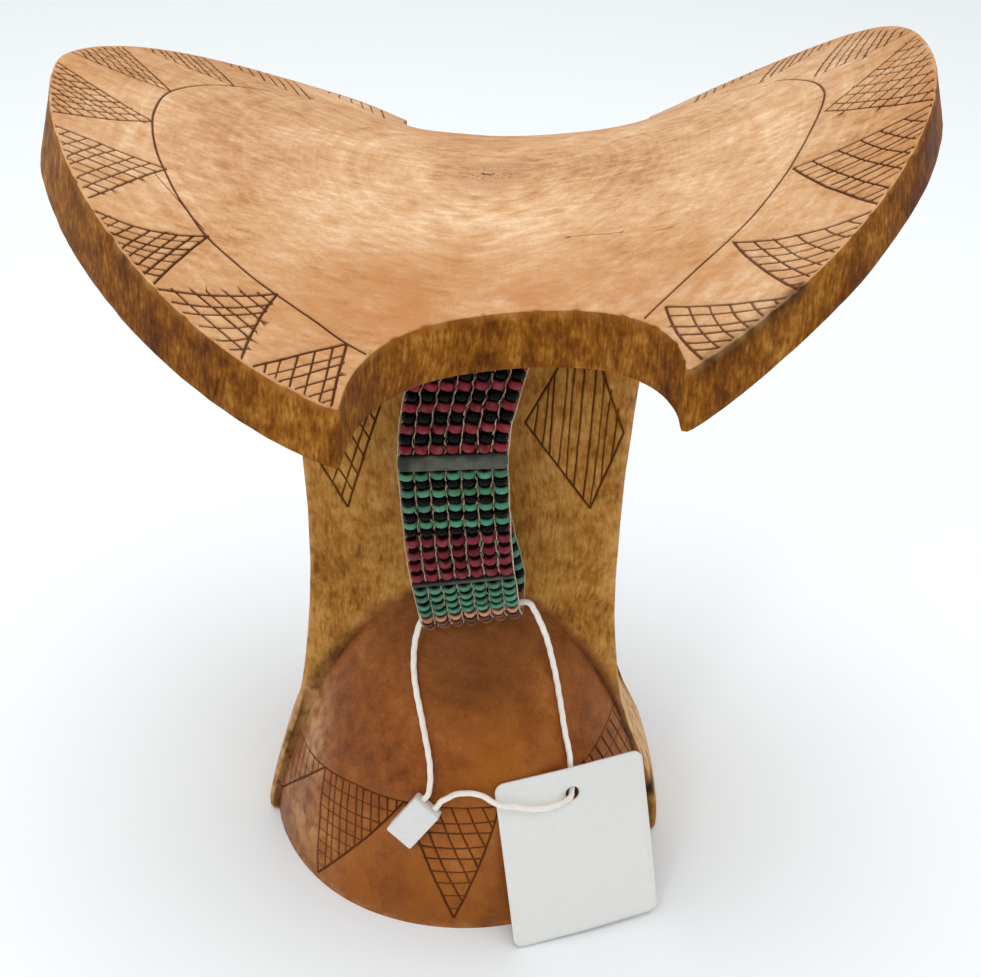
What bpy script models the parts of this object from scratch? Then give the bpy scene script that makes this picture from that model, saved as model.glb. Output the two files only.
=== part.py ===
"""Carved wooden headrest stool with a beaded carrying strap and a bare hang tag.

The stool is carved from one upright log: a saddle-shaped seat with a notch in
its front and back edge, a flat stem that flares into two feet, and a domed
round base in front of and behind the stem.  A loop of strung beads hangs under
the seat on two wire staples.  A string loop with a card and a plastic lock hangs
in the fold of the strap.

Units are metres, +Z up, +X to the right seen from the front, -Y towards the
viewer.  The origin is on the floor, under the middle of the base.
"""
import math

import bpy
import bmesh
from mathutils import Matrix, Vector

MM = 0.001

# ---------------------------------------------------------------- dimensions, mm
# seat, seen from above
TIP_L, TIP_R = 98.75, 97.8           # half lengths to the left and right tip
RIM_P = {"fl": 2.01, "fr": 1.95, "bl": 1.79, "br": 1.93}   # exponents of the hand-cut rim, per quarter
RIM_Q = {"fl": 1.84, "fr": 2.58, "bl": 1.49, "br": 2.31}
RIM_B = {"fl": 86.5, "fr": 87.0, "bl": 85.9, "br": 86.1}   # half depths per quarter
NOTCH_X = {"fl": -23.8, "fr": 43.9, "bl": -25.4, "br": 45.0}   # where the notch corners are along X
NOTCH_F, NOTCH_B = -55.0, 42.9       # deepest point of the front and back notch
NOTCH_P = {"f": 2.0, "b": 13.0}      # how square the front and back notch are
RIM_LEAN_L, RIM_LEAN_R = 0.26, 0.31  # the rim leans out towards its lower edge at the tips
# seat, upper face
SEAT_Z = 201.4                       # height of the middle of the seat
RISE_L, RISE_R = 25.3, 37.9          # rise of the tips
RISE_P_L, RISE_P_R = 1.65, 1.81      # how late the rise comes
FALL, FALL_AT = 19.1, 87.7           # fall towards the front and back
BACK_DROPS = ((39.2, 17.0, 3.1), (-21.2, 11.9, 2.6))   # the back is lower beside the notch: x, spread, drop
BACK_FROM, BACK_OVER = 25.0, 41.0
CORNER_X, CORNER_WIDE, CORNER_T = 47.0, 14.0, 1.2   # thicker wood at the notch's right corner
TILT, TWIST = 0.46, -3.1             # hand-carved lean and twist
SEAT_T, SEAT_T_L, SEAT_T_R = 14.1, 18.0, 13.2    # thickness in the middle and at the tips
# stem and base
STEM_FRONT, STEM_BACK = -20.0, 13.0  # front and back face of the flat stem
# left and right edge of the stem's front face, from the seat down to the feet: z, left x, right x
STEM_SIDES = ((198.0, -53.0, 50.0), (188.0, -50.0, 46.5), (178.0, -47.5, 43.5), (165.0, -45.6, 41.4),
              (150.0, -44.4, 40.6), (132.0, -43.4, 40.1), (115.0, -42.6, 40.1), (97.0, -42.7, 40.5),
              (84.0, -43.2, 41.4), (72.0, -44.1, 43.0), (60.0, -45.3, 45.1), (52.0, -46.3, 47.2),
              (42.0, -48.6, 50.4), (32.0, -51.4, 54.0), (21.0, -53.9, 57.0), (12.0, -56.0, 59.2),
              (5.0, -57.6, 60.3), (-5.0, -57.6, 60.3))
STEM_TAPER, FOOT_SPREAD, FOOT_Z = 0.065, 0.030, 40.0   # narrower towards the back, less so at the feet
DOME_R, DOME_H, DOME_P, DOME_Q = 60.4, 99.5, 1.40, 2.20
DOME_X = 0.8
DOME_NARROW = 0.12                   # the back of the dome is a little narrower
# strap
STRAP_W, STRAP_T = 26.6, 3.7
GAP = 0.3
HINGE = Vector((2.5, -30.0, 179.5))  # the strap swings about a line along X here
# stations of the strap loop: middle of the strap (x, y, z) and tilt of its rows, degrees
STRAP_LINE = ((2.0, -32.1, 173.0, 4.0), (0.2, -35.2, 165.0, 5.0), (-2.2, -38.6, 150.0, 6.0),
              (-1.7, -40.2, 133.0, 8.5), (-0.6, -40.0, 117.0, 11.5), (0.8, -38.4, 104.5, 15.5),
              (2.0, -35.6, 95.6, 18.0), (2.6, -31.8, 92.0, 18.0), (2.8, -28.0, 95.4, 18.0),
              (1.8, -26.5, 105.0, 15.0), (-1.2, -26.0, 122.0, 10.0), (-3.2, -26.0, 148.0, 6.0),
              (-0.6, -26.8, 165.0, 4.5), (2.2, -28.2, 173.0, 4.0))
# lengths of the pieces along the strap, front top to back top
STRAP_PIECES = (("strap_red_black_front", 25.6), ("strap_spacer_front", 5.4),
                ("strap_green_black_front", 17.4), ("strap_red_front", 14.0),
                ("strap_spacer_low", 2.2), ("strap_green_front", 10.2),
                ("strap_fold", 15.0), ("strap_green_black_back", 17.4),
                ("strap_red_back", 14.0), ("strap_spacer_back", 5.4), ("strap_red_black_back", None))
THREAD_R = 0.45
HEAD_W = 20.0
THONG_R = 1.5
STAPLE_X = (-10.2, 15.2)
STAPLE_R, STAPLE_BEND = 0.8, 3.3
# hang tag
CARD_W, CARD_H, CARD_T, CARD_ROUND = 43.6, 49.4, 0.7, 2.6
CARD_CORNER = Vector((18.8, -66.9, 0.7))     # lower left corner
CARD_YAW, CARD_ROLL, CARD_LEAN = 20.7, 2.2, 21.8
HOLE_AT, HOLE_R = (21.8, 42.9), 2.1
SEAL_L, SEAL_W, SEAL_T = 13.5, 8.6, 4.5
SEAL_AT = (-11.0, 37.0)                      # x and z of its middle, lying on the dome
SEAL_UP = Vector((0.571, 0.127, 0.811))      # its long way, towards the string
BULLET_R, BULLET_L = 1.45, 5.0
CORD_R = 0.85
FOLD_TILT = math.tan(math.radians(18.0))


# ---------------------------------------------------------------- scene and helpers
for old in list(bpy.data.objects):
    bpy.data.objects.remove(old, do_unlink=True)

PARTS = bpy.data.collections.new("headrest_stool")
CUTTERS = bpy.data.collections.new("headrest_stool_cutters")
bpy.context.scene.collection.children.link(PARTS)
bpy.context.scene.collection.children.link(CUTTERS)


def material(name, colour, roughness, metallic=0.0):
    mat = bpy.data.materials.new(name)
    mat.use_nodes = True
    shader = mat.node_tree.nodes["Principled BSDF"]
    shader.inputs["Base Color"].default_value = (*colour, 1.0)
    shader.inputs["Roughness"].default_value = roughness
    shader.inputs["Metallic"].default_value = metallic
    mat.diffuse_color = (*colour, 1.0)
    return mat


WOOD = material("carved_hardwood", (0.40, 0.20, 0.08), 0.45)
LEATHER = material("grey_green_leather", (0.13, 0.15, 0.12), 0.6)
HIDE = material("brown_hide", (0.16, 0.09, 0.05), 0.6)
RED_BLACK = material("red_and_black_beads", (0.22, 0.03, 0.05), 0.25)
GREEN_BLACK = material("green_and_black_beads", (0.07, 0.28, 0.20), 0.25)
RED = material("red_beads", (0.30, 0.03, 0.07), 0.25)
GREEN = material("green_beads", (0.10, 0.42, 0.30), 0.25)
PEACH = material("peach_and_brown_beads", (0.42, 0.20, 0.12), 0.3)
THREAD = material("cream_thread", (0.72, 0.63, 0.48), 0.8)
IRON = material("dark_iron_wire", (0.12, 0.11, 0.10), 0.5, 1.0)
STRING = material("white_twine", (0.85, 0.82, 0.76), 0.8)
CARDSTOCK = material("white_card", (0.86, 0.86, 0.85), 0.55)
PLASTIC = material("white_plastic", (0.88, 0.88, 0.88), 0.35)


def add(name, data, mat=None, collection=PARTS):
    obj = bpy.data.objects.new(name, data)
    collection.objects.link(obj)
    if mat is not None:
        data.materials.append(mat)
    return obj


def cutter(name, data):
    obj = add(name, data, None, CUTTERS)
    obj.hide_render = True
    obj.display_type = "WIRE"
    return obj


def boolean(obj, other, operation):
    mod = obj.modifiers.new(operation.lower() + "_" + other.name, "BOOLEAN")
    mod.operation = operation
    mod.object = other
    mod.solver = "EXACT"


def smooth(obj, angle=40.0):
    mesh = obj.data
    mesh.shade_smooth()
    mesh.set_sharp_from_angle(angle=math.radians(angle))


def flat_outline(name, loops, half):
    """2-D curve filled between its loops (in mm), extruded by half each way."""
    curve = bpy.data.curves.new(name, "CURVE")
    curve.dimensions = "2D"
    curve.fill_mode = "BOTH"
    curve.extrude = half * MM
    for loop in loops:
        spline = curve.splines.new("POLY")
        spline.points.add(len(loop) - 1)
        for point, (x, y) in zip(spline.points, loop):
            point.co = (x * MM, y * MM, 0.0, 1.0)
        spline.use_cyclic_u = True
    return curve


def curve_to_mesh(curve, name):
    """Closed mesh of a curve, its loose caps welded."""
    holder = bpy.data.objects.new(name + "_curve", curve)
    CUTTERS.objects.link(holder)
    bpy.context.view_layer.update()
    seen = holder.evaluated_get(bpy.context.evaluated_depsgraph_get())
    mesh = bpy.data.meshes.new_from_object(seen)
    bpy.data.objects.remove(holder, do_unlink=True)
    bm = bmesh.new()
    bm.from_mesh(mesh)
    bmesh.ops.remove_doubles(bm, verts=bm.verts, dist=1e-6)
    bmesh.ops.recalc_face_normals(bm, faces=bm.faces)
    bm.to_mesh(mesh)
    bm.free()
    mesh.name = name
    return mesh


def tube(name, points, radius, mat, sides=2):
    """Round wire or cord through points (in mm), with filled ends."""
    curve = bpy.data.curves.new(name, "CURVE")
    curve.dimensions = "3D"
    curve.bevel_depth = radius * MM
    curve.bevel_resolution = sides
    curve.use_fill_caps = True
    spline = curve.splines.new("POLY")
    spline.points.add(len(points) - 1)
    for point, co in zip(spline.points, points):
        point.co = (*(Vector(co) * MM), 1.0)
    return add(name, curve, mat)


def turned(name, profile, steps):
    """Profile of (z, radius) in mm, top to bottom, turned about Z."""
    mesh = bpy.data.meshes.new(name)
    points = [(0.0, profile[0][0])] + [(r, z) for z, r in profile] + [(0.0, profile[-1][0])]
    mesh.from_pydata([(r * MM, 0.0, z * MM) for r, z in points],
                     [(i, i + 1) for i in range(len(points) - 1)], [])
    obj = cutter(name, mesh)
    mod = obj.modifiers.new("turn", "SCREW")
    mod.axis = "Z"
    mod.steps = mod.render_steps = steps
    mod.use_merge_vertices = True
    mod.merge_threshold = 0.00001
    return obj


def catmull(points, u):
    """Smooth curve through points, u from 0 to len - 1."""
    i = min(int(u), len(points) - 2)
    t = u - i
    p1, p2 = points[i], points[i + 1]
    p0 = points[i - 1] if i else [2 * a - b for a, b in zip(p1, p2)]
    p3 = points[i + 2] if i + 2 < len(points) else [2 * b - a for a, b in zip(p1, p2)]
    return [0.5 * (2 * b + (c - a) * t + (2 * a - 5 * b + 4 * c - d) * t * t
                   + (3 * b - a - 3 * c + d) * t ** 3)
            for a, b, c, d in zip(p0, p1, p2, p3)]


class Route:
    """A smooth curve measured along its length (first three numbers are x, y, z)."""

    def __init__(self, points, steps=40, soften=0):
        fine = [catmull(points, k / steps) for k in range((len(points) - 1) * steps + 1)]
        for _ in range(soften):
            fine = [fine[0]] + [[0.25 * a + 0.5 * b + 0.25 * c for a, b, c in zip(*three)]
                                for three in zip(fine, fine[1:], fine[2:])] + [fine[-1]]
        self.fine, self.at = fine, [0.0]
        for a, b in zip(fine, fine[1:]):
            self.at.append(self.at[-1] + (Vector(b[:3]) - Vector(a[:3])).length)
        self.length = self.at[-1]

    def __call__(self, s):
        s = min(max(s, 0.0), self.length)
        lo, hi = 0, len(self.at) - 1
        while hi - lo > 1:
            mid = (lo + hi) // 2
            lo, hi = (mid, hi) if self.at[mid] <= s else (lo, mid)
        t = (s - self.at[lo]) / max(self.at[hi] - self.at[lo], 1e-9)
        return [a + (b - a) * t for a, b in zip(self.fine[lo], self.fine[hi])]


# ---------------------------------------------------------------- carved body
def seat_top(x, y):
    reach, rise, late = (TIP_L, RISE_L, RISE_P_L) if x < 0 else (TIP_R, RISE_R, RISE_P_R)
    back = min(1.0, max(0.0, (y - BACK_FROM) / BACK_OVER))
    drop = back * back * (3.0 - 2.0 * back) * sum(deep * math.exp(-((x - at) / wide) ** 2) for at, wide, deep in BACK_DROPS)
    return (SEAT_Z + rise * abs(x / reach) ** late - FALL * (y / FALL_AT) ** 2
            + TILT * x / 100.0 + TWIST * (x / 100.0) * (y / 80.0) - drop)


def seat_under(x, y):
    reach, tip = (TIP_L, SEAT_T_L) if x < 0 else (TIP_R, SEAT_T_R)
    return (seat_top(x, y) - SEAT_T - (tip - SEAT_T) * abs(x / reach) ** 2
            - CORNER_T * math.exp(-((x - CORNER_X) / CORNER_WIDE) ** 2))


def rim_y(x, quarter):
    reach = TIP_L if x < 0 else TIP_R
    return RIM_B[quarter] * max(0.0, 1.0 - abs(x / reach) ** RIM_P[quarter]) ** (1.0 / RIM_Q[quarter])


def seat_outline():
    """The seat seen from above, anticlockwise from the left tip."""
    def rim(tip, corner, quarter, n=22):
        side = -1.0 if quarter[0] == "f" else 1.0
        run = [tip + (corner - tip) * (k / n) ** 2.2 for k in range(n + 1)]
        return [(x, side * rim_y(x, quarter)) for x in run]

    def notch(left, right, deep, power, n=24):
        mid, half = 0.5 * (left[0] + right[0]), 0.5 * (right[0] - left[0])
        found = []
        for k in range(1, n):
            c = math.cos(math.pi * k / n)
            end = left if c > 0 else right
            found.append((mid - half * c, end[1] + (deep - end[1]) * (1.0 - abs(c) ** power) ** 0.5))
        return found

    fl, bl = (rim(-TIP_L, NOTCH_X[q], q) for q in ("fl", "bl"))
    fr, br = (rim(TIP_R, NOTCH_X[q], q) for q in ("fr", "br"))
    front = notch(fl[-1], fr[-1], NOTCH_F, NOTCH_P["f"])
    back = notch(bl[-1], br[-1], NOTCH_B, NOTCH_P["b"])
    return fl + front + fr[::-1] + br[1:] + back[::-1] + bl[:0:-1]


def saddle_slab():
    """A slab between the seat's upper and lower face, larger than the seat."""
    bm = bmesh.new()
    bmesh.ops.create_grid(bm, x_segments=30, y_segments=26, size=0.5)
    for v in bm.verts:
        v.co.x, v.co.y = v.co.x * 224.0 + 0.5, v.co.y * 178.0
    top = bm.faces[:]
    under = bmesh.ops.duplicate(bm, geom=top)["geom"]
    low = [g for g in under if isinstance(g, bmesh.types.BMVert)]
    low_set = set(low)
    for v in bm.verts:
        v.co.z = seat_under(v.co.x, v.co.y) if v in low_set else seat_top(v.co.x, v.co.y)
    bmesh.ops.reverse_faces(bm, faces=[g for g in under if isinstance(g, bmesh.types.BMFace)])
    bmesh.ops.bridge_loops(bm, edges=[e for e in bm.edges if e.is_boundary])
    bmesh.ops.recalc_face_normals(bm, faces=bm.faces)
    bmesh.ops.scale(bm, vec=(MM, MM, MM), verts=bm.verts)
    mesh = bpy.data.meshes.new("carved_body")
    bm.to_mesh(mesh)
    bm.free()
    return mesh


def dome_radius(z):
    return DOME_R * max(0.0, 1.0 - min(max(z / DOME_H, 0.0), 1.0) ** DOME_P) ** (1.0 / DOME_Q)


def on_dome(x, z, off):
    """Point in front of the dome, off mm out from its surface."""
    r = dome_radius(z) + off
    return Vector((x, -math.sqrt(max(r * r - (x - DOME_X) ** 2, 0.0)), z))


body = add("carved_body", saddle_slab(), WOOD)
plan = cutter("seat_plan", curve_to_mesh(flat_outline("seat_plan", [seat_outline()], 60.0), "seat_plan"))
for v in plan.data.vertices:
    x, y, z = v.co.x / MM, v.co.y / MM, 200.0 + v.co.z / MM
    lean = -RIM_LEAN_L * min(-x / TIP_L, 1.0) ** 2 if x < 0 else RIM_LEAN_R * min(x / TIP_R, 1.0) ** 2
    v.co = Vector((x + lean * (seat_top(x, y) - z), y, z)) * MM
boolean(body, plan, "INTERSECT")

def stem_blank():
    """The flat stem: its front outline drawn through to the back face, and tapered."""
    outline = [(left, z) for z, left, right in STEM_SIDES] + [(right, z) for z, left, right in STEM_SIDES[::-1]]
    mesh = curve_to_mesh(flat_outline("stem_blank", [outline], 0.5 * (STEM_BACK - STEM_FRONT)), "stem_blank")
    for v in mesh.vertices:
        x, z, depth = v.co.x / MM, v.co.y / MM, 0.5 * (STEM_BACK - STEM_FRONT) - v.co.z / MM
        above = min((row for row in STEM_SIDES if row[0] >= z - 0.01), key=lambda row: row[0])
        middle = 0.5 * (above[1] + above[2])
        taper = STEM_TAPER - FOOT_SPREAD * max(0.0, 1.0 - max(z, 0.0) / FOOT_Z)
        x = middle + (x - middle) * (1.0 - taper * depth / (STEM_BACK - STEM_FRONT))
        v.co = Vector((x, STEM_FRONT + depth, z)) * MM
    return mesh


stem = cutter("stem_blank", stem_blank())

dome_rows = 14
heights = [DOME_H * math.cos(0.5 * math.pi * k / dome_rows) for k in range(1, dome_rows)]
dome = turned("dome_blank", tuple((z, dome_radius(z)) for z in heights)
              + ((0.0, DOME_R), (-5.0, DOME_R)), 56)
bpy.context.view_layer.update()
dome.data = bpy.data.meshes.new_from_object(dome.evaluated_get(bpy.context.evaluated_depsgraph_get()))
dome.modifiers.clear()
for v in dome.data.vertices:
    v.co.x *= 1.0 - DOME_NARROW * min(max(v.co.y / MM / 20.0, 0.0), 1.0)
dome.location.x = DOME_X * MM

# the dome stands out only in front of and behind the stem
bpy.ops.mesh.primitive_cube_add(size=1.0, location=(0.0, 0.5 * (STEM_FRONT + STEM_BACK) * MM, 0.05))
slab = bpy.context.object
slab.name = "stem_slab"
for holder in list(slab.users_collection):
    holder.objects.unlink(slab)
CUTTERS.objects.link(slab)
slab.scale = (0.3, (STEM_BACK - STEM_FRONT - 1.0) * MM, 0.3)
slab.hide_render = True
slab.display_type = "WIRE"
boolean(dome, slab, "DIFFERENCE")
boolean(body, stem, "UNION")
boolean(body, dome, "UNION")

bpy.ops.mesh.primitive_cube_add(size=0.2, location=(0.0, 0.0, -0.1))
floor = bpy.context.object
floor.name = "floor_cut"
for holder in list(floor.users_collection):
    holder.objects.unlink(floor)
CUTTERS.objects.link(floor)
floor.hide_render = True
floor.display_type = "WIRE"
boolean(body, floor, "DIFFERENCE")

# holes for the two staples, in the lower face of the seat
bm = bmesh.new()
STAPLE_TOP = 191.5
for x in STAPLE_X:
    for side in (-1, 1):
        made = bmesh.ops.create_cone(bm, cap_ends=True, segments=12, radius1=STAPLE_R + GAP,
                                     radius2=STAPLE_R + GAP, depth=STAPLE_TOP + GAP - 175.0)
        bmesh.ops.translate(bm, verts=made["verts"],
                            vec=(x, HINGE.y + side * STAPLE_BEND, 0.5 * (STAPLE_TOP + GAP + 175.0)))
bmesh.ops.scale(bm, vec=(MM, MM, MM), verts=bm.verts)
holes_mesh = bpy.data.meshes.new("staple_holes")
bm.to_mesh(holes_mesh)
bm.free()
holes = cutter("staple_holes", holes_mesh)
boolean(body, holes, "DIFFERENCE")
smooth(body)

# ---------------------------------------------------------------- staples
for name, x in zip(("staple_left", "staple_right"), STAPLE_X):
    run = [(x, HINGE.y - STAPLE_BEND, STAPLE_TOP), (x, HINGE.y - STAPLE_BEND, HINGE.z + 3.0)]
    run += [(x, HINGE.y - STAPLE_BEND * math.cos(math.pi * k / 8),
             HINGE.z - STAPLE_BEND * math.sin(math.pi * k / 8)) for k in range(9)]
    run += [(x, HINGE.y + STAPLE_BEND, HINGE.z + 3.0), (x, HINGE.y + STAPLE_BEND, STAPLE_TOP)]
    tube(name, run, STAPLE_R, IRON)

# ---------------------------------------------------------------- strap
swing = bpy.data.objects.new("strap_swing_axis", None)
swing.location = HINGE * MM
PARTS.objects.link(swing)


def hang(obj, empty):
    """Parent obj to an empty and keep it where it is."""
    obj.parent = empty
    bpy.context.view_layer.update()
    obj.matrix_parent_inverse = empty.matrix_world.inverted()


bpy.context.view_layer.update()
ends = STAPLE_X[0] - 3.8, STAPLE_X[1] + 3.8
bpy.ops.mesh.primitive_cylinder_add(vertices=16, radius=THONG_R * MM, depth=(ends[1] - ends[0]) * MM,
                                    location=(0.5 * sum(ends) * MM, HINGE.y * MM, HINGE.z * MM),
                                    rotation=(0.0, math.pi / 2, 0.0))
thong = bpy.context.object
thong.name = thong.data.name = "strap_thong"
for holder in list(thong.users_collection):
    holder.objects.unlink(thong)
PARTS.objects.link(thong)
thong.data.materials.append(HIDE)
smooth(thong)
hang(thong, swing)

# hide head: a turned-over loop around the thong, with a tail down to both legs
roll, tail = 3.1, 3.75
low = STRAP_LINE[0][2] + 1.5 - HINGE.z
around = [(roll * math.cos(math.radians(a)), roll * math.sin(math.radians(a))) for a in range(-20, 201, 20)]
outline = around + [(-tail, low + 2.2), (-tail, low), (tail, low), (tail, low + 2.2)]
bore = [((THONG_R + GAP) * math.cos(math.radians(a)), (THONG_R + GAP) * math.sin(math.radians(a)))
        for a in range(0, 360, 24)]
head = add("strap_head", flat_outline("strap_head", [outline, bore], 0.5 * HEAD_W), HIDE)
head.location = HINGE * MM
head.rotation_euler = (math.pi / 2, 0.0, math.pi / 2)
hang(head, swing)

line = Route(STRAP_LINE)


def strap_frame(s):
    """Middle of the strap at s, the way of its rows and the way out of its face."""
    here, ahead, behind = line(s), line(s + 0.5), line(s - 0.5)
    along = (Vector(ahead[:3]) - Vector(behind[:3])).normalized()
    tilt = math.radians(here[3])
    across = Vector((math.cos(tilt), 0.0, math.sin(tilt)))
    out = along.cross(across).normalized()
    return Vector(here[:3]), across, out


def strap_band(name, start, end, mat):
    """A stretch of the strap, lofted along its line between its front and back face."""
    rows = max(2, round((end - start) / 2.6))
    bm = bmesh.new()
    bmesh.ops.create_grid(bm, x_segments=2, y_segments=rows, size=0.5)
    front = bm.faces[:]
    copied = bmesh.ops.duplicate(bm, geom=front)["geom"]
    behind = {g for g in copied if isinstance(g, bmesh.types.BMVert)}
    for v in bm.verts:
        mid, across, out = strap_frame(start + (v.co.y + 0.5) * (end - start))
        half = -0.5 * STRAP_T if v in behind else 0.5 * STRAP_T
        v.co = (mid + across * STRAP_W * v.co.x + out * half) * MM
    bmesh.ops.reverse_faces(bm, faces=[g for g in copied if isinstance(g, bmesh.types.BMFace)])
    bmesh.ops.bridge_loops(bm, edges=[e for e in bm.edges if e.is_boundary])
    bmesh.ops.recalc_face_normals(bm, faces=bm.faces)
    mesh = bpy.data.meshes.new(name)
    bm.to_mesh(mesh)
    bm.free()
    obj = add(name, mesh, mat)
    smooth(obj)
    hang(obj, swing)
    return obj


BAND_MATERIALS = (RED_BLACK, LEATHER, GREEN_BLACK, RED, LEATHER, GREEN, PEACH, GREEN_BLACK, RED, LEATHER, RED_BLACK)
start = 0.0
for (name, length), mat in zip(STRAP_PIECES, BAND_MATERIALS):
    end = line.length if length is None else start + length
    strap_band(name, start, end, mat)
    start = end + GAP

for name, side in (("strap_thread_left", -1.0), ("strap_thread_right", 1.0)):
    count = 56
    run = []
    for k in range(count + 1):
        mid, across, _ = strap_frame(line.length * k / count)
        run.append(mid + across * side * (0.5 * STRAP_W + GAP + THREAD_R))
    hang(tube(name, run, THREAD_R, THREAD, 1), swing)

# ---------------------------------------------------------------- hang tag
tag = bpy.data.objects.new("tag_swing_axis", None)
FOLD_AT = Vector((2.6, -31.8, 96.3))
tag.location = FOLD_AT * MM
PARTS.objects.link(tag)
hang(tag, swing)
bpy.context.view_layer.update()

yaw, lift, lean = (math.radians(a) for a in (CARD_YAW, CARD_ROLL, CARD_LEAN))
card_right = Vector((math.cos(yaw) * math.cos(lift), math.sin(yaw) * math.cos(lift), math.sin(lift)))
card_up0 = (Vector((0.0, 0.0, 1.0)) - card_right * card_right.z).normalized()
card_out0 = card_right.cross(card_up0)
card_up = card_up0 * math.cos(lean) - card_out0 * math.sin(lean)
card_out = card_right.cross(card_up)


def rounded(width, height, radius, n=5):
    found = []
    for cx, cy, first in ((width - radius, radius, -90), (width - radius, height - radius, 0),
                          (radius, height - radius, 90), (radius, radius, 180)):
        for k in range(n + 1):
            a = math.radians(first + 90.0 * k / n)
            found.append((cx + radius * math.cos(a), cy + radius * math.sin(a)))
    return found


hole = [(HOLE_AT[0] + HOLE_R * math.cos(2 * math.pi * k / 20), HOLE_AT[1] + HOLE_R * math.sin(2 * math.pi * k / 20))
        for k in range(20)]
card = add("tag_card", flat_outline("tag_card", [rounded(CARD_W, CARD_H, CARD_ROUND), hole], 0.5 * CARD_T), CARDSTOCK)
card.matrix_world = Matrix((
    (card_right.x, card_up.x, card_out.x, CARD_CORNER.x * MM),
    (card_right.y, card_up.y, card_out.y, CARD_CORNER.y * MM),
    (card_right.z, card_up.z, card_out.z, CARD_CORNER.z * MM),
    (0.0, 0.0, 0.0, 1.0)))
hang(card, tag)


def on_card(a, b, c):
    """Point a, b, c from the middle of the card's hole: right, up and out."""
    return (CARD_CORNER + card_right * (HOLE_AT[0] + a) + card_up * (HOLE_AT[1] + b) + card_out * c)


# plastic lock, lying on the dome
seal_mid = on_dome(SEAL_AT[0], SEAL_AT[1], 0.5 * SEAL_T + 0.6)
r_above, r_below = dome_radius(SEAL_AT[1] + 1.0), dome_radius(SEAL_AT[1] - 1.0)
radial = Vector((seal_mid.x - DOME_X, seal_mid.y, 0.0)).normalized()
seal_out = (radial + Vector((0.0, 0.0, 0.5 * (r_below - r_above)))).normalized()
seal_long = (SEAL_UP - seal_out * SEAL_UP.dot(seal_out)).normalized()
seal_side = seal_long.cross(seal_out).normalized()      # towards the lower right
END_1, END_2 = -2.1, 1.9                                 # where the two string ends enter
seal_end = seal_mid + seal_long * 0.5 * SEAL_L

bpy.ops.mesh.primitive_cube_add(size=1.0)
seal = bpy.context.object
seal.name = seal.data.name = "tag_seal"
for holder in list(seal.users_collection):
    holder.objects.unlink(seal)
PARTS.objects.link(seal)
for v in seal.data.vertices:
    v.co = Vector((v.co.x * SEAL_L, v.co.y * SEAL_W, v.co.z * SEAL_T)) * MM
seal.data.materials.append(PLASTIC)
turn = Matrix((
    (seal_long.x, seal_side.x, -seal_out.x, seal_mid.x * MM),
    (seal_long.y, seal_side.y, -seal_out.y, seal_mid.y * MM),
    (seal_long.z, seal_side.z, -seal_out.z, seal_mid.z * MM),
    (0.0, 0.0, 0.0, 1.0)))
if turn.determinant() < 0:
    turn = turn @ Matrix.Diagonal((1.0, 1.0, -1.0, 1.0))
seal.matrix_world = turn
edge = seal.modifiers.new("edge", "BEVEL")
edge.width = 0.5 * MM
edge.segments = 2
bore_mesh = bpy.data.meshes.new("seal_bore")
bm = bmesh.new()
bmesh.ops.create_cone(bm, cap_ends=True, segments=16, radius1=(BULLET_R + GAP) * MM, radius2=(BULLET_R + GAP) * MM,
                      depth=2 * (BULLET_L + 2 * GAP) * MM)
bm.to_mesh(bore_mesh)
bm.free()
bore_cut = cutter("seal_bore", bore_mesh)
facing = seal_long.to_track_quat("Z", "Y").to_matrix().to_4x4()
bore_at = seal_end + seal_side * END_2
bore_cut.matrix_world = Matrix.Translation(bore_at * MM) @ facing
boolean(seal, bore_cut, "DIFFERENCE")
hang(seal, tag)

bullet_mesh = bpy.data.meshes.new("tag_bullet")
bm = bmesh.new()
bmesh.ops.create_cone(bm, cap_ends=True, segments=14, radius1=BULLET_R * 0.55 * MM, radius2=BULLET_R * MM,
                      depth=(BULLET_L - GAP) * MM)
bm.to_mesh(bullet_mesh)
bm.free()
bullet = add("tag_bullet", bullet_mesh, PLASTIC)
bullet.matrix_world = Matrix.Translation((bore_at - seal_long * 0.5 * (BULLET_L + GAP)) * MM) @ facing
hang(bullet, tag)

# string: both ends in the lock, up through the fold of the strap and down through the card
CORD_OFF = CORD_R + 0.55


def fold_line(x):
    """The string lies in the bottom of the strap's fold."""
    return Vector((x, -31.8, FOLD_AT.z + FOLD_TILT * (x - FOLD_AT.x)))


end_1 = seal_end + seal_side * END_1
end_2 = seal_end + seal_side * END_2
arc = 4.0
a1 = fold_line(-10.2)
mid_1 = a1 + Vector((FOLD_TILT, 0.0, -1.0)).normalized() * arc
a2 = fold_line(13.8)
mid_2 = a2 + Vector((FOLD_TILT, 0.0, -1.0)).normalized() * arc


def bend(mid, first, last, n):
    return [mid + Vector((arc * math.cos(math.radians(first + (last - first) * k / n)), 0.0,
                          arc * math.sin(math.radians(first + (last - first) * k / n)))) for k in range(n + 1)]


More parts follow.
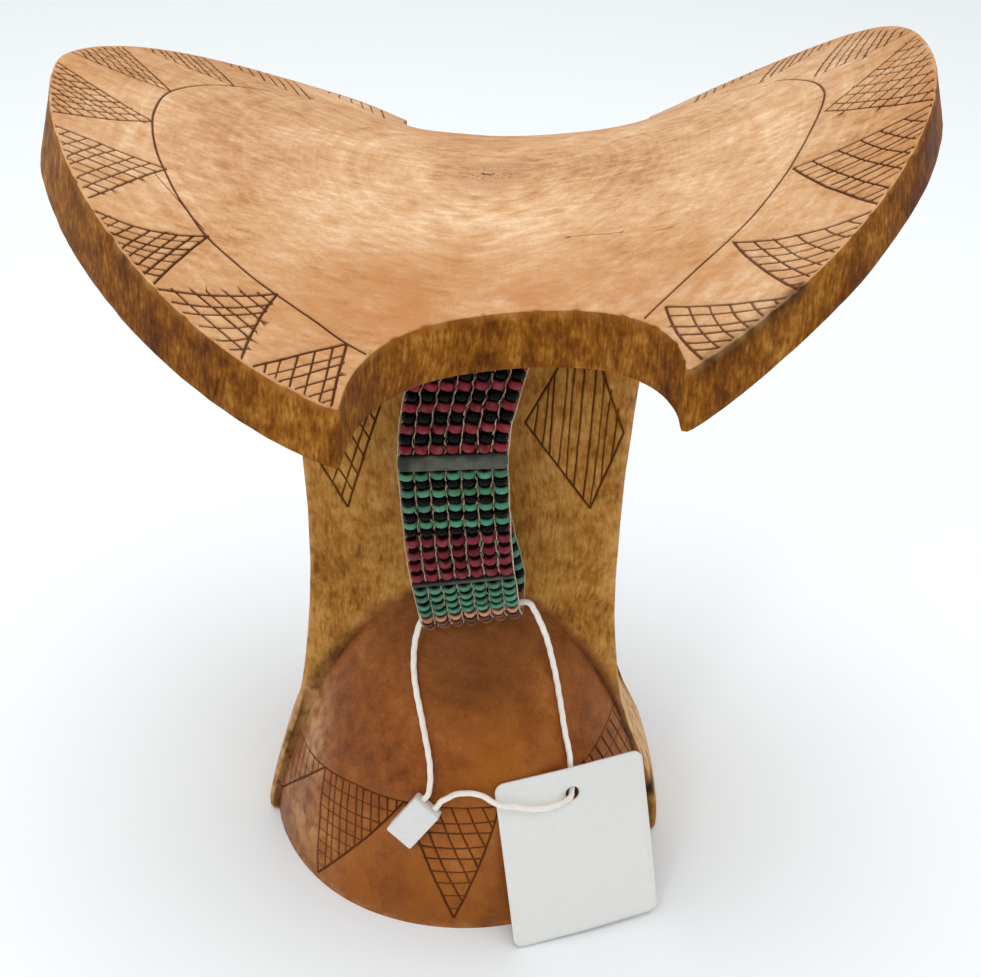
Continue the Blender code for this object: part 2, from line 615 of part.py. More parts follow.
route = [end_1 + seal_long * GAP, end_1 + seal_long * 2.4, on_dome(-7.0, 47.6, CORD_OFF + 0.8)]
route += [on_dome(x, z, CORD_OFF) for x, z in ((-7.2, 51.4), (-7.9, 55.4), (-9.0, 59.8), (-10.2, 64.4),
                                               (-11.9, 70.0), (-13.0, 75.2))]
route += [Vector((-13.4, -32.4, 81.4))] + bend(mid_1, 180.0, 108.0, 4)
route += [fold_line(x) for x in (-5.0, 0.0, 5.0, 9.5)] + bend(mid_2, 108.0, 0.0, 6)
route += [Vector((20.0, -31.2, 89.5)), Vector((22.2, -30.5, 83.0)), Vector((24.3, -30.6, 77.0))]
route += [on_dome(x, z, CORD_OFF) for x, z in ((26.0, 71.0), (27.8, 63.6), (29.4, 56.4), (30.8, 51.4))]
route += [on_card(a, b, c) for a, b, c in (
    (1.0, 6.0, -1.7), (0.95, 3.6, -1.7), (0.75, 1.7, -1.35), (0.3, 0.4, -0.55), (-0.25, -0.3, 0.55),
    (-1.2, -0.9, 1.4), (-3.0, -1.4, 1.9), (-6.0, -1.9, 1.85), (-9.5, -2.0, 1.8), (-13.5, -1.0, 1.8),
    (-17.5, 0.4, 1.8), (-21.6, 1.6, 1.8))]
route += [on_dome(x, z, CORD_OFF) for x, z in ((7.2, 45.2), (3.8, 46.4))]
route += [on_dome(0.4, 46.7, CORD_OFF + 0.5)]
route += [end_2 + seal_long * 3.9, end_2 + seal_long * 2.0, end_2 + seal_long * GAP]
cord_line = Route([tuple(p) for p in route], steps=24, soften=60)
count = 76
cord = tube("tag_cord", [cord_line(cord_line.length * k / count) for k in range(count + 1)], CORD_R, STRING)
hang(cord, tag)
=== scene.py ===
"""Looks of the carved headrest stool: wood with cut patterns, beaded strap, string and bare tag.

Lengths below are in millimetres in the row frame: +Z up, -Y towards the viewer,
origin on the floor under the middle of the base.
"""
import math
import random

import bpy
import bmesh
import numpy as np
from mathutils import Matrix, Vector, noise
from mathutils.geometry import delaunay_2d_cdt
from mathutils.kdtree import KDTree


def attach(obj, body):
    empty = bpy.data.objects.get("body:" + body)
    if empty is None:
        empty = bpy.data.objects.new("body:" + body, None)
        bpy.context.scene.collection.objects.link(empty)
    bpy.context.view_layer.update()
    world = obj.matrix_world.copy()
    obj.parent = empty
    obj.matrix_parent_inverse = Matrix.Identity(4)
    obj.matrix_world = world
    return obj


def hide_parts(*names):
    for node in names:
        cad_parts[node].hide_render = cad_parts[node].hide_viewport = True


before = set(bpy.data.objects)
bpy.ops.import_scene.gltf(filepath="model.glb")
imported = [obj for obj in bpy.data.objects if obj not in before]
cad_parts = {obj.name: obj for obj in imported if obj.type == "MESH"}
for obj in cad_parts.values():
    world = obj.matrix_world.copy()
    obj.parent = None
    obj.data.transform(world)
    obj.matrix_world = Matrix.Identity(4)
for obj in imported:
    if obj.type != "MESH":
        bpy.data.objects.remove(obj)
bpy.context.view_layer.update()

MM = 0.001
SCENE = bpy.context.scene
rng = random.Random(2417)

# ---------------------------------------------------------------- dimensions, as in the part
TIP_L, TIP_R = 98.75, 97.8
RIM_P = {"fl": 2.01, "fr": 1.95, "bl": 1.79, "br": 1.93}
RIM_Q = {"fl": 1.84, "fr": 2.58, "bl": 1.49, "br": 2.31}
RIM_B = {"fl": 86.5, "fr": 87.0, "bl": 85.9, "br": 86.1}
NOTCH_X = {"fl": -23.8, "fr": 43.9, "bl": -25.4, "br": 45.0}
NOTCH_F, NOTCH_B = -55.0, 42.9
NOTCH_P = {"f": 2.0, "b": 13.0}
RIM_LEAN_L, RIM_LEAN_R = 0.26, 0.31
SEAT_Z = 201.4
RISE_L, RISE_R = 25.3, 37.9
RISE_P_L, RISE_P_R = 1.65, 1.81
FALL, FALL_AT = 19.1, 87.7
BACK_DROPS = ((39.2, 17.0, 3.1), (-21.2, 11.9, 2.6))
BACK_FROM, BACK_OVER = 25.0, 41.0
CORNER_X, CORNER_WIDE, CORNER_T = 47.0, 14.0, 1.2
TILT, TWIST = 0.46, -3.1
SEAT_T, SEAT_T_L, SEAT_T_R = 14.1, 18.0, 13.2
STEM_FRONT, STEM_BACK = -20.0, 13.0
STEM_SIDES = ((198.0, -53.0, 50.0), (188.0, -50.0, 46.5), (178.0, -47.5, 43.5), (165.0, -45.6, 41.4),
              (150.0, -44.4, 40.6), (132.0, -43.4, 40.1), (115.0, -42.6, 40.1), (97.0, -42.7, 40.5),
              (84.0, -43.4, 41.2), (72.0, -44.5, 42.5), (60.0, -45.9, 44.3), (52.0, -47.1, 46.1),
              (42.0, -49.4, 49.4), (32.0, -52.5, 53.7), (21.0, -55.3, 57.6), (12.0, -57.5, 60.0),
              (5.0, -59.0, 60.8), (0.0, -59.0, 60.8))
STEM_TAPER, FOOT_SPREAD, FOOT_Z = 0.065, 0.030, 40.0
DOME_R, DOME_H, DOME_P, DOME_Q = 60.4, 99.5, 1.40, 2.20
DOME_X, DOME_NARROW = 0.8, 0.12
STRAP_W, STRAP_T, GAP = 26.6, 3.7, 0.3
STRAP_LINE = ((1.0, -32.1, 173.0, 4.0), (-1.2, -35.2, 165.0, 4.5), (-3.4, -38.6, 150.0, 5.5),
              (-2.4, -40.2, 133.0, 7.0), (-1.0, -40.0, 117.0, 9.5), (0.8, -38.4, 104.3, 12.0),
              (2.0, -35.6, 95.2, 13.5), (2.6, -31.8, 91.6, 13.5), (2.8, -28.0, 95.2, 13.5),
              (2.2, -26.5, 103.0, 12.0), (-2.0, -26.0, 120.0, 9.0), (-3.7, -26.0, 146.0, 6.0),
              (-0.6, -26.8, 165.0, 4.5), (2.0, -28.2, 173.0, 4.0))
THREAD_R = 0.45
CARD_W, CARD_H, CARD_T, CARD_ROUND = 43.6, 50.3, 0.7, 2.6
CARD_CORNER = Vector((18.8, -66.9, 0.7))
CARD_YAW, CARD_ROLL, CARD_LEAN = 20.7, 2.2, 21.8
HOLE_AT, HOLE_R = (21.8, 42.9), 2.1
SEAL_L, SEAL_W, SEAL_T = 13.5, 8.6, 4.5
SEAL_AT = (-11.0, 37.0)
SEAL_UP = Vector((0.571, 0.127, 0.811))
CORD_R = 0.85
FOLD_TILT = math.tan(math.radians(13.5))
FOLD_AT = Vector((2.6, -31.8, 94.7))

# ---------------------------------------------------------------- camera
FOCAL_PX, FRAME_PX = 1381.21, 981.0
lift, turn, roll = (math.radians(a) for a in (34.382, 1.148, 2.344))
cam_back = Vector((math.sin(turn) * math.cos(lift), -math.cos(turn) * math.cos(lift), math.sin(lift)))
right0 = Vector((math.cos(turn), math.sin(turn), 0.0))
up0 = cam_back.cross(right0)
cam_right = right0 * math.cos(roll) + up0 * math.sin(roll)
cam_up = up0 * math.cos(roll) - right0 * math.sin(roll)
cam_at = (Vector((5.148, 0.0, 111.62)) + cam_back * 382.81) * MM
camera = bpy.data.objects.new("photo_camera", bpy.data.cameras.new("photo_camera"))
SCENE.collection.objects.link(camera)
camera.data.sensor_fit = "HORIZONTAL"
camera.data.sensor_width = 36.0
camera.data.lens = FOCAL_PX * 36.0 / FRAME_PX
camera.data.clip_start, camera.data.clip_end = 0.01, 20.0
camera.matrix_world = Matrix(((cam_right.x, cam_up.x, cam_back.x, cam_at.x),
                              (cam_right.y, cam_up.y, cam_back.y, cam_at.y),
                              (cam_right.z, cam_up.z, cam_back.z, cam_at.z),
                              (0.0, 0.0, 0.0, 1.0)))
SCENE.camera = camera


# ---------------------------------------------------------------- materials
def srgb(r, g, b):
    """Colour from 0-255 display values to the linear values that shaders take."""
    return tuple((c / 255.0 / 12.92) if c < 10.31 else ((c / 255.0 + 0.055) / 1.055) ** 2.4
                 for c in (r, g, b)) + (1.0,)


class Look:
    """A material, with short ways to add nodes to it."""

    def __init__(self, name):
        self.mat = bpy.data.materials.new(name)
        self.mat.use_nodes = True
        self.tree = self.mat.node_tree
        self.shader = self.tree.nodes["Principled BSDF"]

    def put(self, node, name, value):
        socket = node.inputs[name]
        if isinstance(value, bpy.types.NodeSocket):
            self.tree.links.new(value, socket)
        else:
            socket.default_value = value

    def new(self, kind, inputs=(), **settings):
        node = self.tree.nodes.new(kind)
        for key, value in settings.items():
            setattr(node, key, value)
        for name, value in inputs:
            self.put(node, name, value)
        return node

    def set(self, **inputs):
        for name, value in inputs.items():
            self.put(self.shader, name.replace("_", " "), value)

    def place(self):
        return self.new("ShaderNodeTexCoord").outputs["Object"]

    def stretch(self, vector, scale, shift=(0.0, 0.0, 0.0)):
        return self.new("ShaderNodeMapping", (("Vector", vector), ("Scale", scale), ("Location", shift))).outputs[0]

    def noise(self, vector, scale, detail=3.0, rough=0.5, warp=0.0):
        return self.new("ShaderNodeTexNoise", (("Vector", vector), ("Scale", scale), ("Detail", detail),
                                               ("Roughness", rough), ("Distortion", warp)))

    def attr(self, name):
        return self.new("ShaderNodeAttribute", attribute_name=name).outputs["Fac"]

    def ramp(self, value, stops):
        node = self.new("ShaderNodeValToRGB", (("Fac", value),))
        band = node.color_ramp.elements
        while len(band) < len(stops):
            band.new(1.0)
        for element, (at, colour) in zip(band, stops):
            element.position, element.color = at, colour
        return node.outputs["Color"]

    def span(self, value, low, high, to_low=0.0, to_high=1.0):
        return self.new("ShaderNodeMapRange", (("Value", value), ("From Min", low), ("From Max", high),
                                               ("To Min", to_low), ("To Max", to_high))).outputs[0]

    def mix(self, share, a, b, blend="MIX"):
        node = self.new("ShaderNodeMix", data_type="RGBA", blend_type=blend)
        for index, value in ((0, share), (6, a), (7, b)):
            self.put(node, index, value)
        return node.outputs[2]

    def sum(self, op, a, b):
        return self.new("ShaderNodeMath", ((0, a), (1, b)), operation=op).outputs[0]

    def bump(self, height, strength, distance):
        node = self.new("ShaderNodeBump", (("Height", height), ("Strength", strength), ("Distance", distance)))
        self.set(Normal=node.outputs[0])


def wood_look():
    look = Look("carved_wood")
    at = look.place()
    drift = look.noise(at, 13.0, 3.0).outputs["Color"]
    drift = look.new("ShaderNodeVectorMath", ((0, drift), (1, (0.5, 0.5, 0.5))), operation="SUBTRACT").outputs[0]
    drift = look.stretch(drift, (0.020, 0.020, 0.010))
    warped = look.new("ShaderNodeVectorMath", ((0, at), (1, drift)), operation="ADD").outputs[0]
    flat = look.stretch(warped, (1.0, 1.0, 0.0), (-0.0011, -0.0038, 0.0))
    reach = look.new("ShaderNodeVectorMath", ((0, flat),), operation="LENGTH").outputs["Value"]
    near = look.stretch(at, (1.0, 1.2, 0.0), (-0.0011, -0.0046, 0.0))
    near = look.new("ShaderNodeVectorMath", ((0, near),), operation="LENGTH").outputs["Value"]
    rings = look.new("ShaderNodeTexNoise", (("W", reach), ("Scale", 420.0), ("Detail", 3.0), ("Roughness", 0.62)),
                     noise_dimensions="1D").outputs["Fac"]
    streak = look.noise(look.stretch(warped, (1.0, 1.0, 0.26)), 1350.0, 3.0, 0.60).outputs["Fac"]
    fleck = look.noise(look.stretch(warped, (1.0, 1.0, 0.27)), 820.0, 3.0, 0.6).outputs["Fac"]
    across = look.noise(look.stretch(warped, (0.15, 1.0, 1.0)), 620.0, 3.0, 0.60).outputs["Fac"]
    torn = look.new("ShaderNodeMapping", (("Vector", at), ("Rotation", (0.0, 0.0, -0.6)), ("Scale", (0.30, 1.0, 1.0)))).outputs[0]
    torn = look.noise(torn, 700.0, 3.0, 0.62).outputs["Fac"]
    blotch = look.noise(at, 24.0, 5.0, 0.60, 0.6).outputs["Fac"]
    patch = look.noise(look.stretch(at, (1.0, 1.0, 0.55), (0.31, 0.12, 0.07)), 75.0, 5.0, 0.64).outputs["Fac"]
    mottle = look.noise(look.stretch(at, (0.7, 1.0, 0.7), (0.11, 0.07, 0.02)), 330.0, 4.0, 0.6).outputs["Fac"]
    pores = look.noise(at, 1500.0, 2.0, 0.6).outputs["Fac"]

    def blend(*parts):
        total = look.sum("MULTIPLY", parts[0][0], parts[0][1])
        for value, weight in parts[1:]:
            total = look.sum("ADD", total, look.sum("MULTIPLY", value, weight))
        return total

    # a value from 0 (dark) to 1 (light) for each way that the wood shows
    face = look.span(blend((blotch, 0.30), (rings, 0.08), (across, 0.16), (torn, 0.11), (mottle, 0.16), (pores, 0.10), (patch, 0.09)), 0.41, 0.59)
    edge = look.span(blend((streak, 0.24), (fleck, 0.10), (patch, 0.28), (mottle, 0.22), (blotch, 0.16)), 0.40, 0.60)
    trunk = look.span(blend((streak, 0.18), (fleck, 0.24), (patch, 0.22), (blotch, 0.14), (mottle, 0.22)), 0.40, 0.60)
    skin = look.span(blend((blotch, 0.36), (patch, 0.30), (mottle, 0.22), (pores, 0.12)), 0.36, 0.64)
    top = look.ramp(face, ((0.0, srgb(170, 120, 80)), (0.33, srgb(196, 150, 106)), (0.66, srgb(212, 171, 130)),
                           (1.0, srgb(228, 199, 164))))
    rim = look.ramp(edge, ((0.0, srgb(74, 34, 2)), (0.34, srgb(114, 61, 8)), (0.62, srgb(144, 87, 20)),
                           (1.0, srgb(186, 130, 56))))
    stem = look.ramp(trunk, ((0.0, srgb(120, 70, 22)), (0.34, srgb(158, 102, 38)), (0.62, srgb(184, 128, 58)),
                             (1.0, srgb(208, 156, 88))))
    dome = look.ramp(skin, ((0.0, srgb(98, 48, 18)), (0.36, srgb(141, 77, 33)), (0.66, srgb(164, 97, 45)),
                            (1.0, srgb(196, 132, 80))))
    colour = look.mix(look.attr("rim"), stem, rim)
    colour = look.mix(look.attr("top"), colour, top)
    colour = look.mix(look.attr("dome"), colour, dome)
    heart = look.sum("MULTIPLY", look.span(reach, 0.0080, 0.0102, 0.55, 0.0), look.attr("top"))
    colour = look.mix(heart, colour, srgb(186, 138, 102))
    rosy = look.sum("MULTIPLY", look.attr("rosy"), look.span(mottle, 0.38, 0.62, 0.9, 0.25))
    colour = look.mix(rosy, colour, srgb(176, 120, 90))
    # warm: a golden tone, with painted shade on the seat's front slope and a painted highlight on the dome's middle and
    # foot
    golden_light_shade_share = look.sum("MULTIPLY", look.attr("warm"), look.span(patch, 0.36, 0.6, 0.35, 1.0))
    colour = look.mix(golden_light_shade_share, colour, look.mix(look.attr("top"), srgb(154, 86, 16), srgb(180, 121, 72)))
    dark_fleck = look.sum("MULTIPLY", look.span(fleck, 0.60, 0.72), look.span(look.attr("top"), 0.0, 1.0, 0.42, 0.10))
    colour = look.mix(dark_fleck, colour, srgb(80, 44, 16))
    specks = look.sum("MULTIPLY", look.span(pores, 0.57, 0.63), look.span(near, 0.003, 0.011, 0.9, 0.0))
    colour = look.mix(look.sum("MULTIPLY", specks, look.attr("top")), colour, srgb(84, 46, 22))
    # stain: real stains and burnt marks, and painted shade in the dome–stem crease, under the seat, on the dome's top
    # and under the strap
    stain = look.sum("MULTIPLY", look.attr("stain"), look.span(patch, 0.34, 0.56, 0.45, 1.0))
    colour = look.mix(stain, colour, srgb(46, 22, 8))
    # worn: lighter worn edges, and painted highlights on the dome's left cheek and the stem's right side face
    worn = look.sum("MULTIPLY", look.attr("worn"), look.span(mottle, 0.36, 0.58, 0.10, 0.85))
    colour = look.mix(worn, colour, srgb(222, 176, 120))
    cut = look.sum("MULTIPLY", look.span(look.attr("cut"), 0.24, 0.62), look.span(blotch, 0.35, 0.65, 1.0, 0.78))
    colour = look.mix(cut, colour, look.mix(look.attr("dome"), srgb(74, 38, 16), srgb(84, 42, 16)))
    look.set(Base_Color=colour)
    shine = look.span(look.attr("dome"), 0.0, 1.0, 0.58, 0.40)
    look.set(Roughness=look.sum("ADD", shine, look.span(patch, 0.3, 0.7, -0.08, 0.10)))
    look.set(Specular_IOR_Level=look.span(look.attr("dome"), 0.0, 1.0, 0.14, 0.20), Specular_Tint=srgb(255, 226, 188))
    look.bump(blend((streak, 0.35), (fleck, 0.25), (pores, 0.25), (rings, 0.15)), 0.30, 0.0004)
    return look.mat


def bead_look(name, first, second, rough=0.09):
    """Glass beads in two colours, told apart by the attribute tone."""
    look = Look(name)
    at = look.place()
    colour = look.mix(look.attr("tone"), first, second)
    # painted shade: vary darkens the beads' end faces and holes and the cores between rows; some beads are also darker
    # at random
    colour = look.mix(look.span(look.attr("vary"), 0.0, 1.0, 0.0, 0.92), colour, srgb(14, 8, 8))
    milky = look.noise(at, 520.0, 3.0).outputs["Fac"]
    veil = look.sum("MULTIPLY", look.span(milky, 0.45, 0.75, 0.0, 0.10), look.attr("tone"))
    colour = look.mix(veil, colour, srgb(222, 206, 190))
    look.set(Base_Color=colour)
    look.set(Roughness=look.span(milky, 0.3, 0.7, rough, rough + 0.08))
    look.set(Specular_IOR_Level=look.span(look.attr("vary"), 0.5, 0.9, 0.09, 0.0))
    return look.mat


def leather_look(name, dark, light, rough=0.62):
    look = Look(name)
    at = look.place()
    mottled = look.noise(at, 240.0, 4.0, 0.6).outputs["Fac"]
    grain = look.noise(at, 1300.0, 3.0, 0.55).outputs["Fac"]
    colour = look.ramp(look.span(mottled, 0.3, 0.7), ((0.0, dark), (1.0, light)))
    # stain: painted shade along the spacer's upper edge, and its darker ends
    colour = look.mix(look.attr("stain"), colour, srgb(20, 18, 16))
    look.set(Base_Color=colour, Roughness=look.span(grain, 0.3, 0.7, rough - 0.1, rough + 0.12))
    look.bump(grain, 0.35, 0.0004)
    return look.mat


def fibre_look(name, dark, light, rough=0.85):
    look = Look(name)
    at = look.place()
    fuzz = look.noise(at, 1600.0, 4.0, 0.65).outputs["Fac"]
    soft = look.noise(at, 90.0, 2.0).outputs["Fac"]
    look.set(Base_Color=look.ramp(look.sum("ADD", look.sum("MULTIPLY", fuzz, 0.6), look.sum("MULTIPLY", soft, 0.4)),
                                  ((0.3, dark), (0.6, light))), Roughness=rough)
    look.bump(fuzz, 0.25, 0.0002)
    return look.mat


def iron_look():
    look = Look("iron_wire")
    at = look.place()
    rust = look.noise(at, 520.0, 4.0, 0.6).outputs["Fac"]
    look.set(Base_Color=look.ramp(rust, ((0.35, srgb(70, 66, 62)), (0.55, srgb(104, 96, 88)), (0.75, srgb(112, 66, 38)))),
             Metallic=look.span(rust, 0.5, 0.7, 0.9, 0.2), Roughness=look.span(rust, 0.3, 0.7, 0.38, 0.75))
    look.bump(rust, 0.3, 0.0003)
    return look.mat


def pale_look(name, low, high, rough, scale, strength):
    look = Look(name)
    at = look.place()
    grain = look.noise(at, scale, 4.0, 0.6).outputs["Fac"]
    look.set(Base_Color=look.ramp(grain, ((0.3, low), (0.7, high))), Roughness=look.span(grain, 0.2, 0.8, rough - 0.05, rough + 0.05))
    look.bump(grain, strength, 0.0002)
    return look.mat


BLACK, RED, GREEN = srgb(3, 2, 2), srgb(142, 38, 52), srgb(78, 148, 114)
WOOD = wood_look()
BEADS_RED_BLACK = bead_look("beads_red_black", BLACK, RED)
BEADS_GREEN_BLACK = bead_look("beads_green_black", BLACK, GREEN)
BEADS_RED = bead_look("beads_red", srgb(92, 22, 34), srgb(136, 40, 54))
BEADS_GREEN = bead_look("beads_green", srgb(9, 56, 36), srgb(84, 150, 120))
BEADS_PEACH = bead_look("beads_peach_brown", srgb(84, 46, 32), srgb(206, 146, 112))
SPACER = leather_look("spacer_leather", srgb(50, 54, 42), srgb(92, 96, 76))
HIDE = leather_look("hide", srgb(58, 36, 22), srgb(96, 64, 40))
THREAD = fibre_look("thread", srgb(140, 114, 88), srgb(214, 190, 162))
STRING = fibre_look("string", srgb(236, 226, 214), srgb(252, 246, 238), 0.75)
IRON = iron_look()
CARDSTOCK = pale_look("card", srgb(230, 230, 226), srgb(234, 234, 230), 0.5, 700.0, 0.02)
PLASTIC = pale_look("white_plastic", srgb(224, 223, 220), srgb(232, 231, 228), 0.36, 260.0, 0.03)


# ---------------------------------------------------------------- meshes
def wobble(x, y, z):
    return noise.noise(Vector((x, y, z)))


def waves(points, scale, seed=0.0):
    """Smooth noise from about -1 to 1 at points in mm."""
    return np.array([wobble(x * scale[0] + seed, y * scale[1] - seed, z * scale[2] + 2.0 * seed) for x, y, z in points])


class Solid:
    """Points in mm and faces, put together ring by ring."""

    def __init__(self):
        self.points, self.faces, self.count = [], [], 0
        self.values = {}

    def add(self, points, **values):
        points = np.asarray(points, float).reshape(-1, 3)
        ids = np.arange(self.count, self.count + len(points))
        self.points.append(points)
        self.count += len(points)
        for name, value in values.items():
            self.values.setdefault(name, []).append((ids, np.broadcast_to(np.asarray(value, float), len(points))))
        return ids

    def bridge(self, a, b, closed=True):
        n = len(a)
        for i in range(n if closed else n - 1):
            j = (i + 1) % n
            self.faces.append((int(a[i]), int(a[j]), int(b[j]), int(b[i])))

    def fill(self, ids, flip=False):
        ring = [int(i) for i in ids]
        self.faces.append(tuple(ring[::-1] if flip else ring))

    def tris(self, ids, faces, flip=False):
        for face in faces:
            ring = [int(ids[i]) for i in face]
            self.faces.append(tuple(ring[::-1] if flip else ring))

    def mesh(self, name, outward=True):
        mesh = bpy.data.meshes.new(name)
        points = np.concatenate(self.points) * MM
        mesh.from_pydata(points.tolist(), [], self.faces)
        for attribute, parts in self.values.items():
            found = np.zeros(self.count)
            for ids, value in parts:
                found[ids] = value
            mesh.attributes.new(attribute, "FLOAT", "POINT").data.foreach_set("value", found)
        if outward:
            bm = bmesh.new()
            bm.from_mesh(mesh)
            bmesh.ops.recalc_face_normals(bm, faces=bm.faces)
            bm.to_mesh(mesh)
            bm.free()
        mesh.update()
        return mesh


def show(name, mesh, material, body, nodes=(), angle=40.0):
    obj = bpy.data.objects.new(name, mesh)
    SCENE.collection.objects.link(obj)
    mesh.materials.clear()
    mesh.materials.append(material)
    mesh.shade_smooth()
    mesh.set_sharp_from_angle(angle=math.radians(angle))
    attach(obj, body)
    if nodes:
        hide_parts(*nodes)
    return obj


def sweep(solid, points, radius, sides=6, lobes=0, depth=0.0, pitch=1.0, closed_ends=True, **values):
    """Tube along points; lobes twist around it once in pitch mm."""
    points = [Vector(p) for p in points]
    ways = [(b - a).normalized() for a, b in zip([points[0]] + points[:-1], points[1:] + [points[-1]])]
    normal = ways[0].orthogonal().normalized()
    rings, gone = [], 0.0
    for k, (p, way) in enumerate(zip(points, ways)):
        if k:
            gone += (p - points[k - 1]).length
            normal = (normal - way * normal.dot(way)).normalized()
        side = way.cross(normal)
        ring = []
        for i in range(sides):
            a = 2.0 * math.pi * i / sides
            r = radius
            if lobes:
                r *= 1.0 - depth * 0.5 * (1.0 - math.cos(lobes * a - 2.0 * math.pi * gone / pitch))
            ring.append(p + normal * (r * math.cos(a)) + side * (r * math.sin(a)))
        rings.append(solid.add([tuple(q) for q in ring], **values))
    for a, b in zip(rings, rings[1:]):
        solid.bridge(a, b)
    if closed_ends:
        solid.fill(rings[0], True)
        solid.fill(rings[-1])


def catmull(points, u):
    i = min(int(u), len(points) - 2)
    t = u - i
    p1, p2 = points[i], points[i + 1]
    p0 = points[i - 1] if i else [2 * a - b for a, b in zip(p1, p2)]
    p3 = points[i + 2] if i + 2 < len(points) else [2 * b - a for a, b in zip(p1, p2)]
    return [0.5 * (2 * b + (c - a) * t + (2 * a - 5 * b + 4 * c - d) * t * t
                   + (3 * b - a - 3 * c + d) * t ** 3)
            for a, b, c, d in zip(p0, p1, p2, p3)]


class Route:
    """A smooth curve measured along its length (first three numbers are x, y, z)."""

    def __init__(self, points, steps=40, soften=0):
        fine = [catmull(points, k / steps) for k in range((len(points) - 1) * steps + 1)]
        for _ in range(soften):
            fine = [fine[0]] + [[0.25 * a + 0.5 * b + 0.25 * c for a, b, c in zip(*three)]
                                for three in zip(fine, fine[1:], fine[2:])] + [fine[-1]]
        self.fine, self.at = fine, [0.0]
        for a, b in zip(fine, fine[1:]):
            self.at.append(self.at[-1] + (Vector(b[:3]) - Vector(a[:3])).length)
        self.length = self.at[-1]

    def __call__(self, s):
        s = min(max(s, 0.0), self.length)
        lo, hi = 0, len(self.at) - 1
        while hi - lo > 1:
            mid = (lo + hi) // 2
            lo, hi = (mid, hi) if self.at[mid] <= s else (lo, mid)
        t = (s - self.at[lo]) / max(self.at[hi] - self.at[lo], 1e-9)
        return [a + (b - a) * t for a, b in zip(self.fine[lo], self.fine[hi])]


# ---------------------------------------------------------------- flat outlines with cut lines
def even(points, step, closed=True):
    """The same line with points about step apart."""
    points = np.asarray(points, float)
    ring = np.vstack([points, points[:1]]) if closed else points
    at = np.concatenate([[0.0], np.cumsum(np.linalg.norm(np.diff(ring, axis=0), axis=1))])
    n = max(2, int(round(at[-1] / step)))
    where = np.linspace(0.0, at[-1], n + 1)[:-1] if closed else np.linspace(0.0, at[-1], n + 1)
    return np.stack([np.interp(where, at, ring[:, k]) for k in range(ring.shape[1])], axis=1)


def rounded_loop(points, sigma, step, fine=0.3):
    """A closed line with its corners rounded off."""
    ring = even(points, fine)
    reach = int(math.ceil(3.0 * sigma / fine))
    weights = np.exp(-0.5 * (np.arange(-reach, reach + 1) * fine / sigma) ** 2)
    weights /= weights.sum()
    smooth = sum(w * np.roll(ring, k, axis=0) for w, k in zip(weights, range(-reach, reach + 1)))
    return even(smooth, step)


def outward(ring):
    """Unit normals pointing out of an anticlockwise line."""
    way = np.roll(ring, -1, axis=0) - np.roll(ring, 1, axis=0)
    way /= np.maximum(np.linalg.norm(way, axis=1, keepdims=True), 1e-9)
    return np.stack([way[:, 1], -way[:, 0]], axis=1)


def inside(ring, points):
    x, y = points[:, 0], points[:, 1]
    found = np.zeros(len(points), bool)
    for (x0, y0), (x1, y1) in zip(ring, np.roll(ring, -1, axis=0)):
        if y0 != y1:
            hit = (y0 > y) != (y1 > y)
            found ^= hit & (x < (x1 - x0) * (y - y0) / (y1 - y0) + x0)
    return found


def tree_of(points):
    tree = KDTree(len(points))
    for k, p in enumerate(points):
        tree.insert((p[0], p[1], p[2] if len(p) > 2 else 0.0), k)
    tree.balance()
    return tree


def gap_to(tree, points):
    return np.array([tree.find((p[0], p[1], p[2] if len(p) > 2 else 0.0))[2] for p in points])


class Cut:
    """One carved line: its points, half width, depth and how dark it is."""

    def __init__(self, points, half=0.42, depth=0.6, dark=1.0):
        self.points, self.half, self.depth, self.dark = np.asarray(points, float), half, depth, dark

    def sideways(self, off):
        way = np.gradient(self.points, axis=0)
        way /= np.maximum(np.linalg.norm(way, axis=1, keepdims=True), 1e-9)
        return self.points + off * np.stack([way[:, 1], -way[:, 0]], axis=1)

    def gap(self, points):
        """Distance of points from the line, far ones left at a large number."""
        found = np.full(len(points), 99.0)
        low, high = self.points.min(0) - 2.0, self.points.max(0) + 2.0
        near = np.nonzero(((points > low) & (points < high)).all(axis=1))[0]
        if not len(near):
            return found
        p = points[near]
        best = np.full(len(near), 99.0)
        for a, b in zip(self.points, self.points[1:]):
            run = b - a
            t = np.clip(((p - a) @ run) / max(run @ run, 1e-9), 0.0, 1.0)
            best = np.minimum(best, np.linalg.norm(p - a - t[:, None] * run, axis=1))
        found[near] = best
        return found


def by_hand(a, b, unsteady=0.13, step=1.3, bow=0.0):
    """A line cut by hand from a to b, not quite straight."""
    a, b = np.asarray(a, float), np.asarray(b, float)
    long = np.linalg.norm(b - a)
    n = max(2, int(round(long / step)))
    way = (b - a) / max(long, 1e-9)
    side = np.array([way[1], -way[0]])
    seed, bow = rng.uniform(0.0, 50.0), bow + rng.uniform(-0.012, 0.012) * long
    found = []
    for k in range(n + 1):
        t = k / n
        found.append(a + (b - a) * t + side * (bow * 4.0 * t * (1.0 - t)
                                               + unsteady * wobble(seed, t * long * 0.22, 0.5)))
    return np.array(found)


